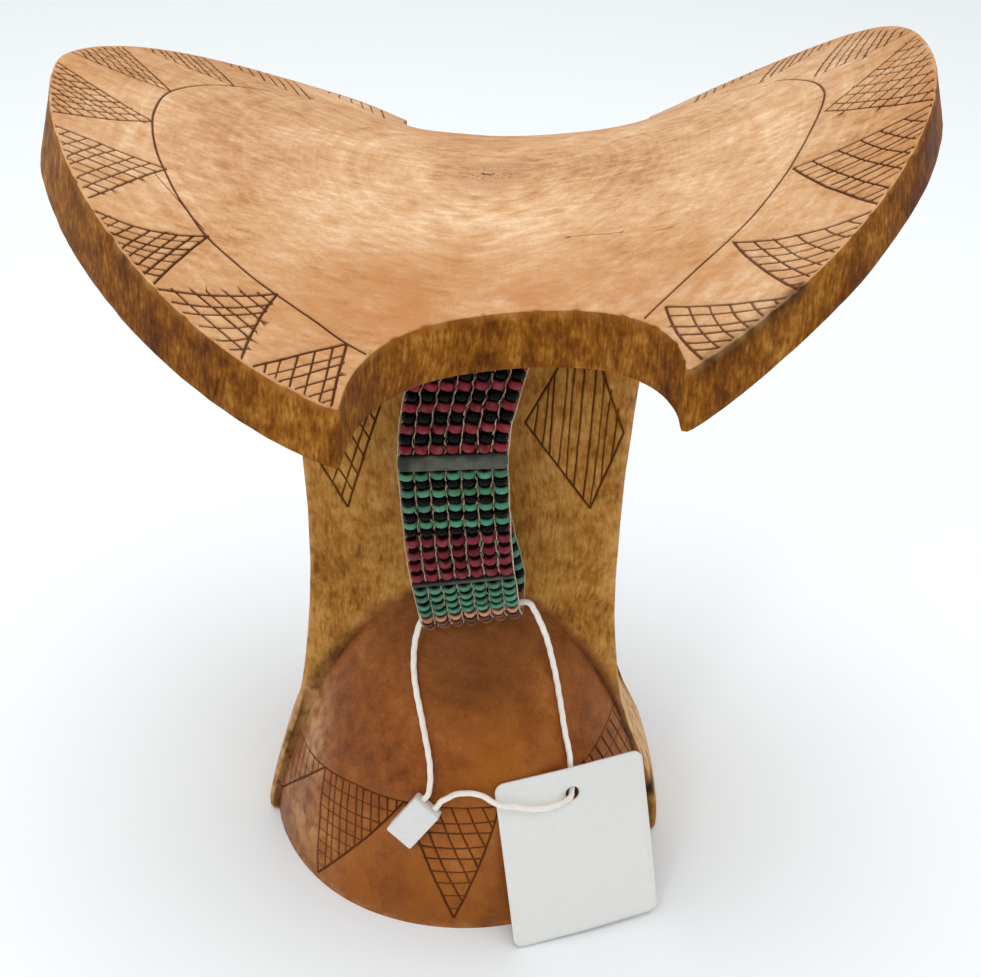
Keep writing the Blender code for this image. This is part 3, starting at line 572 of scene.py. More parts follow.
def hatch_sides(apex, b, c, n_b, n_c, bow_b=0.0, bow_c=0.0, rim_wise=False, over=1.10, half=0.40, depth=0.44):
    """A hatched triangle whose base is the rim: lines along both long sides, or along one of them and the rim."""
    apex, b, c = (np.asarray(p, float) for p in (apex, b, c))
    cuts = [Cut(by_hand(apex, apex + (b - apex) * 1.05, bow=bow_b), half * 1.1, depth * 1.1),
            Cut(by_hand(apex, apex + (c - apex) * 1.05, bow=bow_c), half * 1.1, depth * 1.1)]
    families = [(n_c, b - apex, c - apex, bow_b, bow_c)]
    if rim_wise:
        for k in range(1, n_b):
            t = (k + rng.uniform(-0.12, 0.12)) / n_b
            cuts.append(Cut(by_hand(apex + (b - apex) * t, apex + (c - apex) * t), half * rng.uniform(0.8, 1.05), depth, rng.uniform(0.8, 1.0)))
    else:
        families.append((n_b, c - apex, b - apex, bow_c, bow_b))
    for count, along, other, bow, other_bow in families:
        side = np.array([other[1], -other[0]]) / np.linalg.norm(other)
        for k in range(1, count):
            t = (k + rng.uniform(-0.14, 0.14)) / count
            start = apex + other * t + side * other_bow * 4.0 * t * (1.0 - t)
            tip = apex + other * t + along * (1.0 - t) * over * rng.uniform(0.97, 1.03) + other * rng.uniform(-0.018, 0.018)
            start = start - along * rng.uniform(-0.02, 0.03)
            cuts.append(Cut(by_hand(start, tip, bow=bow * (1.0 - t)), half * rng.uniform(0.75, 1.1), depth * rng.uniform(0.7, 1.1),
                            rng.uniform(0.8, 1.0)))
    return cuts


def hatch_base(apex, left, right, n_side, n_base, half=0.42, depth=0.42, faint=1.0):
    """A hatched triangle under a base line: lines along its left side and along its base."""
    apex, left, right = (np.asarray(p, float) for p in (apex, left, right))
    cuts = [Cut(by_hand(apex, left), half * 1.15, depth * 1.15), Cut(by_hand(apex, right), half * 1.15, depth * 1.15)]
    for k in range(1, n_side):
        t = (k + rng.uniform(-0.12, 0.12)) / n_side
        cuts.append(Cut(by_hand(left + (right - left) * t, apex + (right - apex) * t), half * rng.uniform(0.8, 1.1),
                        depth * rng.uniform(0.75, 1.1), rng.uniform(0.75, 1.0)))
    for k in range(1, n_base):
        t = (k + rng.uniform(-0.12, 0.12)) / n_base
        cuts.append(Cut(by_hand(apex + (left - apex) * t, apex + (right - apex) * t), half * rng.uniform(0.8, 1.1) * (0.6 + 0.4 * faint),
                        depth * rng.uniform(0.75, 1.1) * faint, rng.uniform(0.8, 1.0) * faint))
    return cuts


def last_inside(edge, a, b):
    """How far a cut runs from a (inside) towards b (outside) before it is at the edge."""
    steps = max(1, int(math.ceil(np.linalg.norm(b - a) / 0.1)))
    best = a
    for k in range(1, steps + 1):
        p = a + (b - a) * k / steps
        if edge.find((p[0], p[1], 0.0))[2] < 0.3:
            break
        best = p
    return best


def carve(ring, cuts, grid):
    """Triangles inside a closed line that follow the cut lines, and the depth of the cuts."""
    edge = tree_of(even(ring, 0.2))
    lines = []
    for cut in cuts:
        for off in (0.0, cut.half, -cut.half):
            points = cut.sideways(off)
            keep = inside(ring, points) & (gap_to(edge, points) > 0.3)
            run = []
            for k in range(len(points) + 1):
                ok = k < len(points) and keep[k]
                if ok and not run and k:
                    run.append(last_inside(edge, points[k], points[k - 1]))
                if ok:
                    run.append(points[k])
                elif run:
                    if k < len(points):
                        run.append(last_inside(edge, points[k - 1], points[k]))
                    if len(run) > 1:
                        lines.append(np.array(run))
                    run = []
    low, high = ring.min(0), ring.max(0)
    dots = []
    for j, y in enumerate(np.arange(low[1] + 0.5 * grid, high[1], grid * 0.866)):
        for x in np.arange(low[0] + (0.25 if j % 2 else 0.75) * grid, high[0], grid):
            dots.append((x + rng.uniform(-0.1, 0.1) * grid, y + rng.uniform(-0.1, 0.1) * grid))
    dots = np.array(dots)
    dots = dots[inside(ring, dots)]
    dots = dots[gap_to(edge, dots) > 0.55 * grid]
    if lines:
        dots = dots[gap_to(tree_of(np.vstack(lines)), dots) > 0.5 * min(grid, 2.0)]
    coords, edges = list(map(tuple, ring)), [(k, (k + 1) % len(ring)) for k in range(len(ring))]
    for run in lines:
        base = len(coords)
        coords += list(map(tuple, run))
        edges += [(base + k, base + k + 1) for k in range(len(run) - 1)]
    coords += list(map(tuple, dots))
    found = delaunay_2d_cdt([Vector(p) for p in coords], edges, [], 1, 1e-4)
    points = np.array([tuple(p) for p in found[0]])
    where = {i: k for k, group in enumerate(found[3]) for i in group}
    return points, found[2], [where[k] for k in range(len(ring))]


def cut_depth(points, cuts):
    """Depth and darkness of the cuts at points of the flat outline."""
    deep, dark = np.zeros(len(points)), np.zeros(len(points))
    for cut in cuts:
        gap = cut.gap(points)
        deep = np.maximum(deep, cut.depth * np.clip(1.0 - gap / cut.half, 0.0, 1.0))
        dark = np.maximum(dark, cut.dark * np.clip(1.08 - gap / cut.half, 0.0, 1.0))
    return deep, dark


# ---------------------------------------------------------------- seat
def seat_top(x, y):
    left = x < 0
    reach, rise = np.where(left, TIP_L, TIP_R), np.where(left, RISE_L, RISE_R)
    late = np.where(left, RISE_P_L, RISE_P_R)
    back = np.clip((y - BACK_FROM) / BACK_OVER, 0.0, 1.0)
    drop = back * back * (3.0 - 2.0 * back) * sum(deep * np.exp(-((x - at) / wide) ** 2) for at, wide, deep in BACK_DROPS)
    return (SEAT_Z + rise * np.abs(x / reach) ** late - FALL * (y / FALL_AT) ** 2
            + TILT * x / 100.0 + TWIST * (x / 100.0) * (y / 80.0) - drop)


def seat_thick(x):
    left = x < 0
    reach, tip = np.where(left, TIP_L, TIP_R), np.where(left, SEAT_T_L, SEAT_T_R)
    return SEAT_T + (tip - SEAT_T) * np.abs(x / reach) ** 2 + CORNER_T * np.exp(-((x - CORNER_X) / CORNER_WIDE) ** 2)


def seat_frame(x, y):
    """Height of the top, lean of the wall and depth to the lower face, for points in plan."""
    top = seat_top(x, y)
    lean = np.where(x < 0, -RIM_LEAN_L * np.clip(-x / TIP_L, 0.0, 1.0) ** 2, RIM_LEAN_R * np.clip(x / TIP_R, 0.0, 1.0) ** 2)
    full = seat_thick(x)
    for _ in range(8):
        low_x = x + lean * full
        full = top - (seat_top(low_x, y) - seat_thick(low_x))
    return top, lean, full


def rim_y(x, quarter):
    reach = TIP_L if x < 0 else TIP_R
    return RIM_B[quarter] * max(0.0, 1.0 - min(1.0, abs(x / reach)) ** RIM_P[quarter]) ** (1.0 / RIM_Q[quarter])


def seat_outline():
    """The seat seen from above, anticlockwise from the left tip."""
    def rim(tip, corner, quarter, n=90):
        side = -1.0 if quarter[0] == "f" else 1.0
        run = [tip + (corner - tip) * (k / n) ** 2.2 for k in range(n + 1)]
        return [(x, side * rim_y(x, quarter)) for x in run]

    def notch(left, right, deep, power, n=100):
        mid, half = 0.5 * (left[0] + right[0]), 0.5 * (right[0] - left[0])
        found = []
        for k in range(1, n):
            c = math.cos(math.pi * k / n)
            end = left if c > 0 else right
            found.append((mid - half * c, end[1] + (deep - end[1]) * (1.0 - abs(c) ** power) ** 0.5))
        return found

    fl, bl = (rim(-TIP_L, NOTCH_X[q], q) for q in ("fl", "bl"))
    fr, br = (rim(TIP_R, NOTCH_X[q], q) for q in ("fr", "br"))
    front = notch(fl[-1], fr[-1], NOTCH_F, NOTCH_P["f"])
    back = notch(bl[-1], br[-1], NOTCH_B, NOTCH_P["b"])
    return fl + front + fr[::-1] + br[1:] + back[::-1] + bl[:0:-1]


# hatched triangles along the rim: point on the oval line, two corners on the rim, lines along each side
SEAT_TRIANGLES = (
    ((-75.1, -12.2), (-98.1, -2.8), (-94.1, -23.8), 9, 9), ((-68.4, -28.9), (-92.3, -28.3), (-80.1, -46.5), 7, 8),
    ((-55.9, -46.6), (-78.9, -49.4), (-63.8, -64.5), 8, 7), ((-39.7, -57.9), (-63.1, -64.9), (-44.0, -76.8), 7, 6),
    ((-24.0, -67.4), (-42.3, -77.9), (-25.4, -83.8), 6, 6), ((-75.1, 6.5), (-96.9, 5.5), (-90.6, 22.5), 8, 8),
    ((-64.2, 26.3), (-87.0, 28.5), (-76.0, 44.0), 8, 8), ((-47.0, 39.9), (-72.5, 48.0), (-56.0, 63.0), 8, 8),
    ((-28.6, 48.4), (-52.0, 66.0), (-33.0, 77.0), 7, 7),
    ((77.7, 13.1), (96.6, 9.0), (89.0, 37.0), 9, 9), ((76.4, -11.4), (97.3, 4.1), (94.3, -30.5), 9, 9),
    ((67.7, -30.7), (93.3, -32.1), (81.3, -55.6), 6, 11), ((54.4, -48.6), (80.1, -56.2), (65.8, -69.5), 6, 7),
    ((40.5, -61.5), (64.8, -70.3), (47.1, -77.5), 6, 6), ((68.1, 31.7), (87.5, 40.0), (76.0, 55.5), 8, 8),
    ((53.8, 43.0), (73.5, 58.0), (58.0, 69.5), 8, 8))
OVAL_LEFT = ((-18.9, -69.6), (-25.2, -66.8), (-31.4, -63.1), (-40.0, -58.1), (-48.0, -53.2), (-56.1, -47.0),
             (-62.9, -38.7), (-68.1, -30.5), (-72.1, -22.2), (-75.0, -12.6), (-76.0, -2.6), (-75.1, 6.5),
             (-71.3, 15.6), (-64.2, 26.3), (-56.6, 33.6), (-47.0, 39.9), (-36.9, 44.9), (-27.6, 48.8), (-20.8, 51.4))
OVAL_RIGHT = ((31.9, -67.3), (35.4, -64.0), (41.0, -58.6), (47.4, -52.8), (54.0, -46.9), (60.7, -39.6),
              (67.8, -28.6), (74.3, -13.8), (77.3, -4.0), (77.9, 3.1), (76.8, 10.6), (73.7, 19.3),
              (68.1, 30.4), (61.3, 37.5), (52.8, 43.3), (44.9, 47.1), (40.0, 49.1))
seat_cuts = []
# sides cut in a curve, and the triangle whose second lines follow the rim
BOWS = {0: (0.0, -0.9), 2: (-2.0, 0.0), 3: (-1.3, 0.5), 10: (0.0, 0.9), 11: (0.4, 0.9), 12: (1.9, 1.2), 13: (0.6, 1.3)}
RIM_WISE = 3
for k, (apex, b, c, n_b, n_c) in enumerate(SEAT_TRIANGLES):
    seat_cuts += hatch_sides(apex, b, c, n_b, n_c, *BOWS.get(k, (0.0, 0.0)), rim_wise=k == RIM_WISE)
for oval in (OVAL_LEFT, OVAL_RIGHT):
    run = even([catmull(oval, k / 6.0) for k in range(6 * (len(oval) - 1) + 1)], 1.3, False)
    run = run + np.array([[0.12 * wobble(k * 0.21, 3.0, 0.5), 0.12 * wobble(k * 0.21, 9.0, 1.5)] for k in range(len(run))])
    seat_cuts.append(Cut(run, 0.38, 0.40, 1.0))
seat_cuts.append(Cut(by_hand((-70.2, -31.9), (-57.1, -45.2)), 0.26, 0.2, 0.7))
seat_cuts.append(Cut(by_hand((0.2, 3.8), (2.0, 3.8), 0.0, 0.6), 0.75, 0.6, 1.0))     # open pith
for a, b in (((-29.0, -12.5), (-22.5, -12.5)), ((21.5, -31.0), (32.0, -33.2)), ((-40.0, -3.0), (-36.0, -4.2)), ((39.5, -36.0), (43.0, -36.5))):
    seat_cuts.append(Cut(by_hand(a, b, 0.3), 0.16, 0.12, 0.8))      # drying checks

seat_ring = rounded_loop(seat_outline(), 0.7, 0.95)
seat_normal = outward(seat_ring)
TOP_EDGE, LOW_EDGE = 0.42, 0.55


def seat_row(inset, drop_of):
    """Points round the seat's wall, inset from its outline, at a depth under the top."""
    flat = seat_ring - seat_normal * inset
    top, lean, full = seat_frame(flat[:, 0], flat[:, 1])
    drop = drop_of(full)
    return np.stack([flat[:, 0] + lean * drop, flat[:, 1], top - drop], axis=1), drop


def seat_solid():
    solid = Solid()
    flat, faces, ring_ids = carve(seat_ring - seat_normal * TOP_EDGE, seat_cuts, 2.3)
    deep, _ = cut_depth(flat, seat_cuts)
    top = seat_top(flat[:, 0], flat[:, 1])
    skin = np.stack([flat[:, 0], flat[:, 1], top], axis=1)
    loop = set(ring_ids)
    free = np.array([0.0 if k in loop else 1.0 for k in range(len(flat))])
    skin[:, 2] += free * (0.16 * waves(skin, (0.05, 0.08, 0.0), 3.0) + 0.05 * waves(skin, (0.22, 0.3, 0.0), 5.0)) - deep
    ids = solid.add(skin)
    solid.tris(ids, faces)
    above = ids[ring_ids]
    rows = []
    for k in (1, 2, 3):
        a = 0.5 * math.pi * k / 3
        rows.append((TOP_EDGE * (1.0 - math.sin(a)), lambda full, a=a: TOP_EDGE * (1.0 - math.cos(a)) + 0.0 * full))
    for k in range(1, 7):
        rows.append((0.0, lambda full, k=k: TOP_EDGE + (full - TOP_EDGE - LOW_EDGE) * k / 7.0))
    for k in (0, 1, 2):
        a = 0.5 * math.pi * k / 3
        rows.append((LOW_EDGE * (1.0 - math.cos(a)), lambda full, a=a: full - LOW_EDGE * (1.0 - math.sin(a))))
    for inset, drop_of in rows:
        points, drop = seat_row(inset, drop_of)
        rough = 0.28 * waves(points, (0.07, 0.07, 0.02), 11.0) + 0.12 * waves(points, (0.3, 0.3, 0.06), 17.0)
        nick = 0.42 * np.clip(waves(points, (0.45, 0.45, 0.2), 23.0) - 0.18, 0.0, 1.0) * np.exp(-((drop - 0.3) / 0.8) ** 2)
        points[:, :2] += seat_normal * (rough * np.clip(drop / 2.5, 0.0, 1.0) + 0.02 * drop - 1.6 * nick)[:, None]
        points[:, 2] -= nick
        row = solid.add(points)
        solid.bridge(above, row)
        above = row
    flat, faces, ring_ids = carve(seat_ring - seat_normal * LOW_EDGE, [], 4.5)
    top, lean, full = seat_frame(flat[:, 0], flat[:, 1])
    skin = np.stack([flat[:, 0] + lean * full, flat[:, 1], top - full], axis=1)
    skin[:, 2] += 0.3 * waves(skin, (0.09, 0.09, 0.0), 29.0)
    ids = solid.add(skin)
    solid.tris(ids, faces, True)
    solid.bridge(above, ids[ring_ids])
    return solid.mesh("carved_seat")


# ---------------------------------------------------------------- stem
side_z = np.array([row[0] for row in STEM_SIDES])[::-1]
side_l = np.array([row[1] for row in STEM_SIDES])[::-1]
side_r = np.array([row[2] for row in STEM_SIDES])[::-1]
STEM_TOP, STEM_EDGE = 194.0, 1.5


def stem_place(x, z, depth, bulge=0.0):
    middle = 0.5 * (np.interp(z, side_z, side_l) + np.interp(z, side_z, side_r))
    taper = STEM_TAPER - FOOT_SPREAD * np.clip(1.0 - z / FOOT_Z, 0.0, 1.0)
    x = middle + (x - middle) * (1.0 - taper * depth / (STEM_BACK - STEM_FRONT)) + bulge
    x = x - 1.7 * np.clip((x - middle) / 25.0, 0.0, 1.0) * depth / (STEM_BACK - STEM_FRONT) * np.exp(-((z - 42.0) / 15.0) ** 2)
    return np.stack([x, STEM_FRONT + depth + 0.0 * x, z + 0.0 * x], axis=1)


# cut patterns on the front of the stem (x, z): a hatched point on the left, a ruled lozenge on the right
stem_cuts = []
apex, v_left, v_right = np.array((-31.8, 117.0)), np.array((-43.4, 139.1)), np.array((-14.7, 175.0))
stem_cuts += [Cut(by_hand(apex, v_left), 0.46, 0.46), Cut(by_hand(apex, v_right), 0.46, 0.46)]
for t in (0.09, 0.18, 0.27, 0.37, 0.47, 0.57, 0.68, 0.79):
    start = apex + (v_right - apex) * (t + rng.uniform(-0.01, 0.01))
    stem_cuts.append(Cut(by_hand(start, start + (v_left - apex) * (1.15 if t > 0.2 else 0.9)), 0.38, 0.36, rng.uniform(0.75, 1.0)))
for t in (0.16, 0.34, 0.54, 0.76):
    start = apex + (v_left - apex) * (t + rng.uniform(-0.02, 0.02))
    stem_cuts.append(Cut(by_hand(start, start + (v_right - apex) * 0.95), 0.38, 0.36, rng.uniform(0.75, 1.0)))
left, right, low, high = (np.array(p) for p in ((13.5, 145.8), (38.5, 144.3), (31.7, 120.5), (26.8, 176.0)))
for a, b in ((left, low), (low, right), (left, high), (right, high)):
    stem_cuts.append(Cut(by_hand(a, b), 0.46, 0.46))
for k in range(1, 11):
    t = (k + rng.uniform(-0.15, 0.15)) / 11.0
    x = left[0] + (right[0] - left[0]) * t
    on_left = x < low[0]
    foot = left + (low - left) * ((x - left[0]) / (low[0] - left[0])) if on_left else low + (right - low) * ((x - low[0]) / (right[0] - low[0]))
    head = left + (high - left) * ((x - left[0]) / (high[0] - left[0])) if x < high[0] else high + (right - high) * ((x - high[0]) / (right[0] - high[0]))
    head = head + np.array((rng.uniform(-0.4, 1.4), 0.0))
    stem_cuts.append(Cut(by_hand(foot, head), 0.38, 0.36, rng.uniform(0.7, 1.0)))


def stem_solid():
    levels = np.arange(STEM_TOP, -0.01, -1.0)
    outline = np.concatenate([np.stack([np.interp(levels, side_z, side_l), levels], axis=1),
                              np.stack([np.interp(levels[::-1], side_z, side_r), levels[::-1]], axis=1)])
    ring = rounded_loop(outline, 1.3, 1.1)
    ring[:, 1] = np.clip(ring[:, 1], 0.0, STEM_TOP)
    normal = outward(ring)
    depth = STEM_BACK - STEM_FRONT
    solid = Solid()
    flat, faces, ring_ids = carve(ring - normal * STEM_EDGE, stem_cuts, 2.6)
    deep, _ = cut_depth(flat, stem_cuts)
    skin = stem_place(flat[:, 0], flat[:, 1], deep)
    loop = set(ring_ids)
    free = np.array([0.0 if k in loop else 1.0 for k in range(len(flat))])
    skin[:, 1] += free * (0.35 * waves(skin, (0.05, 0.0, 0.035), 31.0) + 0.10 * waves(skin, (0.22, 0.0, 0.09), 37.0))
    ids = solid.add(skin)
    solid.tris(ids, faces)
    above = ids[ring_ids]
    rows = []
    for k in (1, 2, 3):
        a = 0.5 * math.pi * k / 3
        rows.append((STEM_EDGE * (1.0 - math.sin(a)), STEM_EDGE * (1.0 - math.cos(a))))
    for k in range(1, 9):
        rows.append((0.0, STEM_EDGE + (depth - 2 * STEM_EDGE) * k / 9.0))
    for k in (0, 1, 2):
        a = 0.5 * math.pi * k / 3
        rows.append((STEM_EDGE * (1.0 - math.cos(a)), depth - STEM_EDGE * (1.0 - math.sin(a))))
    for inset, deep in rows:
        flat = ring - normal * inset
        share = deep / depth
        points = stem_place(flat[:, 0], flat[:, 1], np.full(len(flat), deep), normal[:, 0] * 0.9 * 4.0 * share * (1.0 - share))
        rough = 0.35 * waves(points, (0.05, 0.08, 0.03), 41.0) + 0.12 * waves(points, (0.2, 0.25, 0.08), 43.0)
        points[:, 0] += normal[:, 0] * rough * min(1.0, deep / 3.0)
        row = solid.add(points)
        solid.bridge(above, row)
        above = row
    flat, faces, ring_ids = carve(ring - normal * STEM_EDGE, [], 4.0)
    skin = stem_place(flat[:, 0], flat[:, 1], np.full(len(flat), depth))
    skin[:, 1] += 0.35 * waves(skin, (0.05, 0.0, 0.035), 47.0)
    ids = solid.add(skin)
    solid.tris(ids, faces, True)
    solid.bridge(above, ids[ring_ids])
    return solid.mesh("carved_stem")


# ---------------------------------------------------------------- domed base
def dome_radius(z):
    return DOME_R * np.maximum(0.0, 1.0 - np.clip(np.asarray(z, float) / DOME_H, 0.0, 1.0) ** DOME_P) ** (1.0 / DOME_Q)


PER_DEGREE = 0.95                                   # mm along the dome for one degree, about the carved ring
profile_z = DOME_H * (1.0 - np.linspace(1.0, 0.0, 900) ** 2)
profile_r = dome_radius(profile_z)
profile_s = np.concatenate([[0.0], np.cumsum(np.hypot(np.diff(profile_z), np.diff(profile_r)))])


def dome_flat(degrees, z):
    """Angle from the front and height, to millimetres on the unrolled dome."""
    return np.stack([np.asarray(degrees, float) * PER_DEGREE, np.interp(z, profile_z, profile_s)], axis=-1)


def dome_bulge(degrees, z):
    """The front of the dome isn't quite round: wider at its left foot, slimmer beside the stem."""
    return (1.1 * np.exp(-((degrees + 34.0) / 26.0) ** 2) * np.exp(-(z / 14.0) ** 2)
            - 1.4 * np.exp(-((degrees + 88.0) / 15.0) ** 2) * np.exp(-((z - 8.0) / 20.0) ** 2)
            - 1.5 * np.exp(-((degrees + 80.0) / 20.0) ** 2) * np.exp(-((z - 44.0) / 22.0) ** 2))


def back_bulge(degrees, z):
    """The back of the dome is slimmer where it meets the stem's sides."""
    return -2.8 * np.exp(-((np.abs(degrees) - 86.0) / 26.0) ** 2) * np.exp(-((z - 50.0) / 26.0) ** 2)


def dome_place(flat, deep, back=False):
    angle = np.radians(flat[:, 0] / PER_DEGREE)
    z = np.interp(flat[:, 1], profile_s, profile_z)
    step = 0.3
    slope_r = (np.interp(flat[:, 1] + step, profile_s, profile_r) - np.interp(flat[:, 1] - step, profile_s, profile_r)) / (2 * step)
    slope_z = (np.interp(flat[:, 1] + step, profile_s, profile_z) - np.interp(flat[:, 1] - step, profile_s, profile_z)) / (2 * step)
    r = np.interp(flat[:, 1], profile_s, profile_r) - deep * slope_z
    r = r + (back_bulge if back else dome_bulge)(flat[:, 0] / PER_DEGREE, z)
    x, y = r * np.sin(angle), -r * np.cos(angle)
    if back:
        x, y = -x, -y
        x = x * (1.0 - DOME_NARROW * np.clip(y / 20.0, 0.0, 1.0))
    return np.stack([DOME_X + x, y, z + deep * slope_r], axis=1)


RING_LINE = ((-84, 33.0), (-59, 35.2), (-47.4, 36.4), (-35, 38.3), (-17, 39.2), (-5, 39.8), (10, 40.4), (28, 42.0),
             (46, 45.8), (63, 52.2), (84, 55.0))
ring_deg, ring_z = (np.array(column, float) for column in zip(*RING_LINE))
# hanging triangles: two corners on the ring line (degrees), point (degrees, z), lines along the side and the base
HANGING = ((-80.0, -47.6, (-76.0, 3.0), 10, 6, 0.6), (-47.3, -16.7, (-42.2, 2.1), 11, 9, 0.85), (-16.3, 12.9, (0.1, 3.8), 6, 9, 1.0),
           (13.2, 43.0, (29.0, 3.5), 8, 8, 1.0), (43.3, 76.0, (60.0, 4.0), 10, 8, 0.8))


def dome_cuts(back):
    cuts = []
    flip = 0.3 if back else 1.0
    degrees = np.linspace(-84.0, 84.0, 140)
    heights = np.interp(degrees, ring_deg, ring_z)
    if back:
        heights = 46.0 + (heights - 42.0) * flip * -1.0
    line = dome_flat(degrees, heights)
    line[:, 1] += np.array([0.15 * wobble(0.23 * k, 4.0, 7.5) for k in range(len(line))])
    cuts.append(Cut(line, 0.40, 0.38, 0.95))
    for a, b, (tip, tip_z), n_side, n_base, faint in HANGING:
        corner = [dome_flat(d, np.interp(d, degrees, heights)) for d in (a, b)]
        cuts += hatch_base(dome_flat(tip, tip_z), corner[0], corner[1], n_side, n_base, faint=faint)
    return cuts


front_cuts, back_cuts = dome_cuts(False), dome_cuts(True)


def dome_solid(back):
    """Half dome that reaches a little into the stem."""
    wall = 9.0 if back else 17.0
    cuts = back_cuts if back else front_cuts
    z_top = float(np.interp(-wall, -profile_r, profile_z))
    heights = z_top * (1.0 - np.linspace(1.0, 0.0, 160) ** 2)
    limit = np.degrees(np.arccos(np.clip(wall / np.maximum(dome_radius(heights), wall), -1.0, 1.0)))
    sides_r = dome_flat(limit, heights)
    sides_l = dome_flat(-limit, heights)
    floor_line = even(np.array([sides_l[0], sides_r[0]]), 1.3, False)
    edge_r = even(sides_r, 1.3, False)
    edge_l = even(sides_l[::-1], 1.3, False)
    ring = np.concatenate([floor_line[:-1], edge_r[:-1], edge_l[:-1]])
    n_floor, n_side = len(floor_line), len(edge_r)
    flat, faces, ring_ids = carve(ring, cuts, 2.4)
    deep, _ = cut_depth(flat, cuts)
    loop = set(ring_ids)
    free = np.array([0.0 if k in loop else 1.0 for k in range(len(flat))])
    skin = dome_place(flat, np.zeros(len(flat)), back)
    facets = 0.45 * waves(skin, (0.055, 0.055, 0.022), 53.0) + 0.10 * waves(skin, (0.2, 0.2, 0.09), 59.0)
    skin = dome_place(flat, deep + free * facets * np.clip(flat[:, 1] / 6.0, 0.0, 1.0), back)
    solid = Solid()
    ids = solid.add(skin)
    solid.tris(ids, faces)
    loop_ids = ids[ring_ids]
    solid.fill(loop_ids[:n_floor])
    solid.fill(np.concatenate([loop_ids[n_floor - 1:], loop_ids[:1]]))
    return solid.mesh("carved_dome_back" if back else "carved_dome_front")


# ---------------------------------------------------------------- the wood as one piece
def join_wood():
    parts = []
    for mesh in (seat_solid(), stem_solid(), dome_solid(False), dome_solid(True)):
        obj = bpy.data.objects.new(mesh.name, mesh)
        SCENE.collection.objects.link(obj)
        parts.append(obj)
    for other in parts[1:]:
        mod = parts[0].modifiers.new("join_" + other.name, "BOOLEAN")
        mod.operation, mod.object, mod.solver = "UNION", other, "EXACT"
    bpy.context.view_layer.update()
    mesh = bpy.data.meshes.new_from_object(parts[0].evaluated_get(bpy.context.evaluated_depsgraph_get()))
    for obj in parts:
        bpy.data.objects.remove(obj, do_unlink=True)
    mesh.name = "carved_wood"
    bm = bmesh.new()
    bm.from_mesh(mesh)
    bmesh.ops.remove_doubles(bm, verts=bm.verts, dist=2e-6)
    bmesh.ops.dissolve_degenerate(bm, dist=2e-6, edges=bm.edges)
    bmesh.ops.triangulate(bm, faces=bm.faces)
    bmesh.ops.recalc_face_normals(bm, faces=bm.faces)
    bm.to_mesh(mesh)
    bm.free()
    return mesh


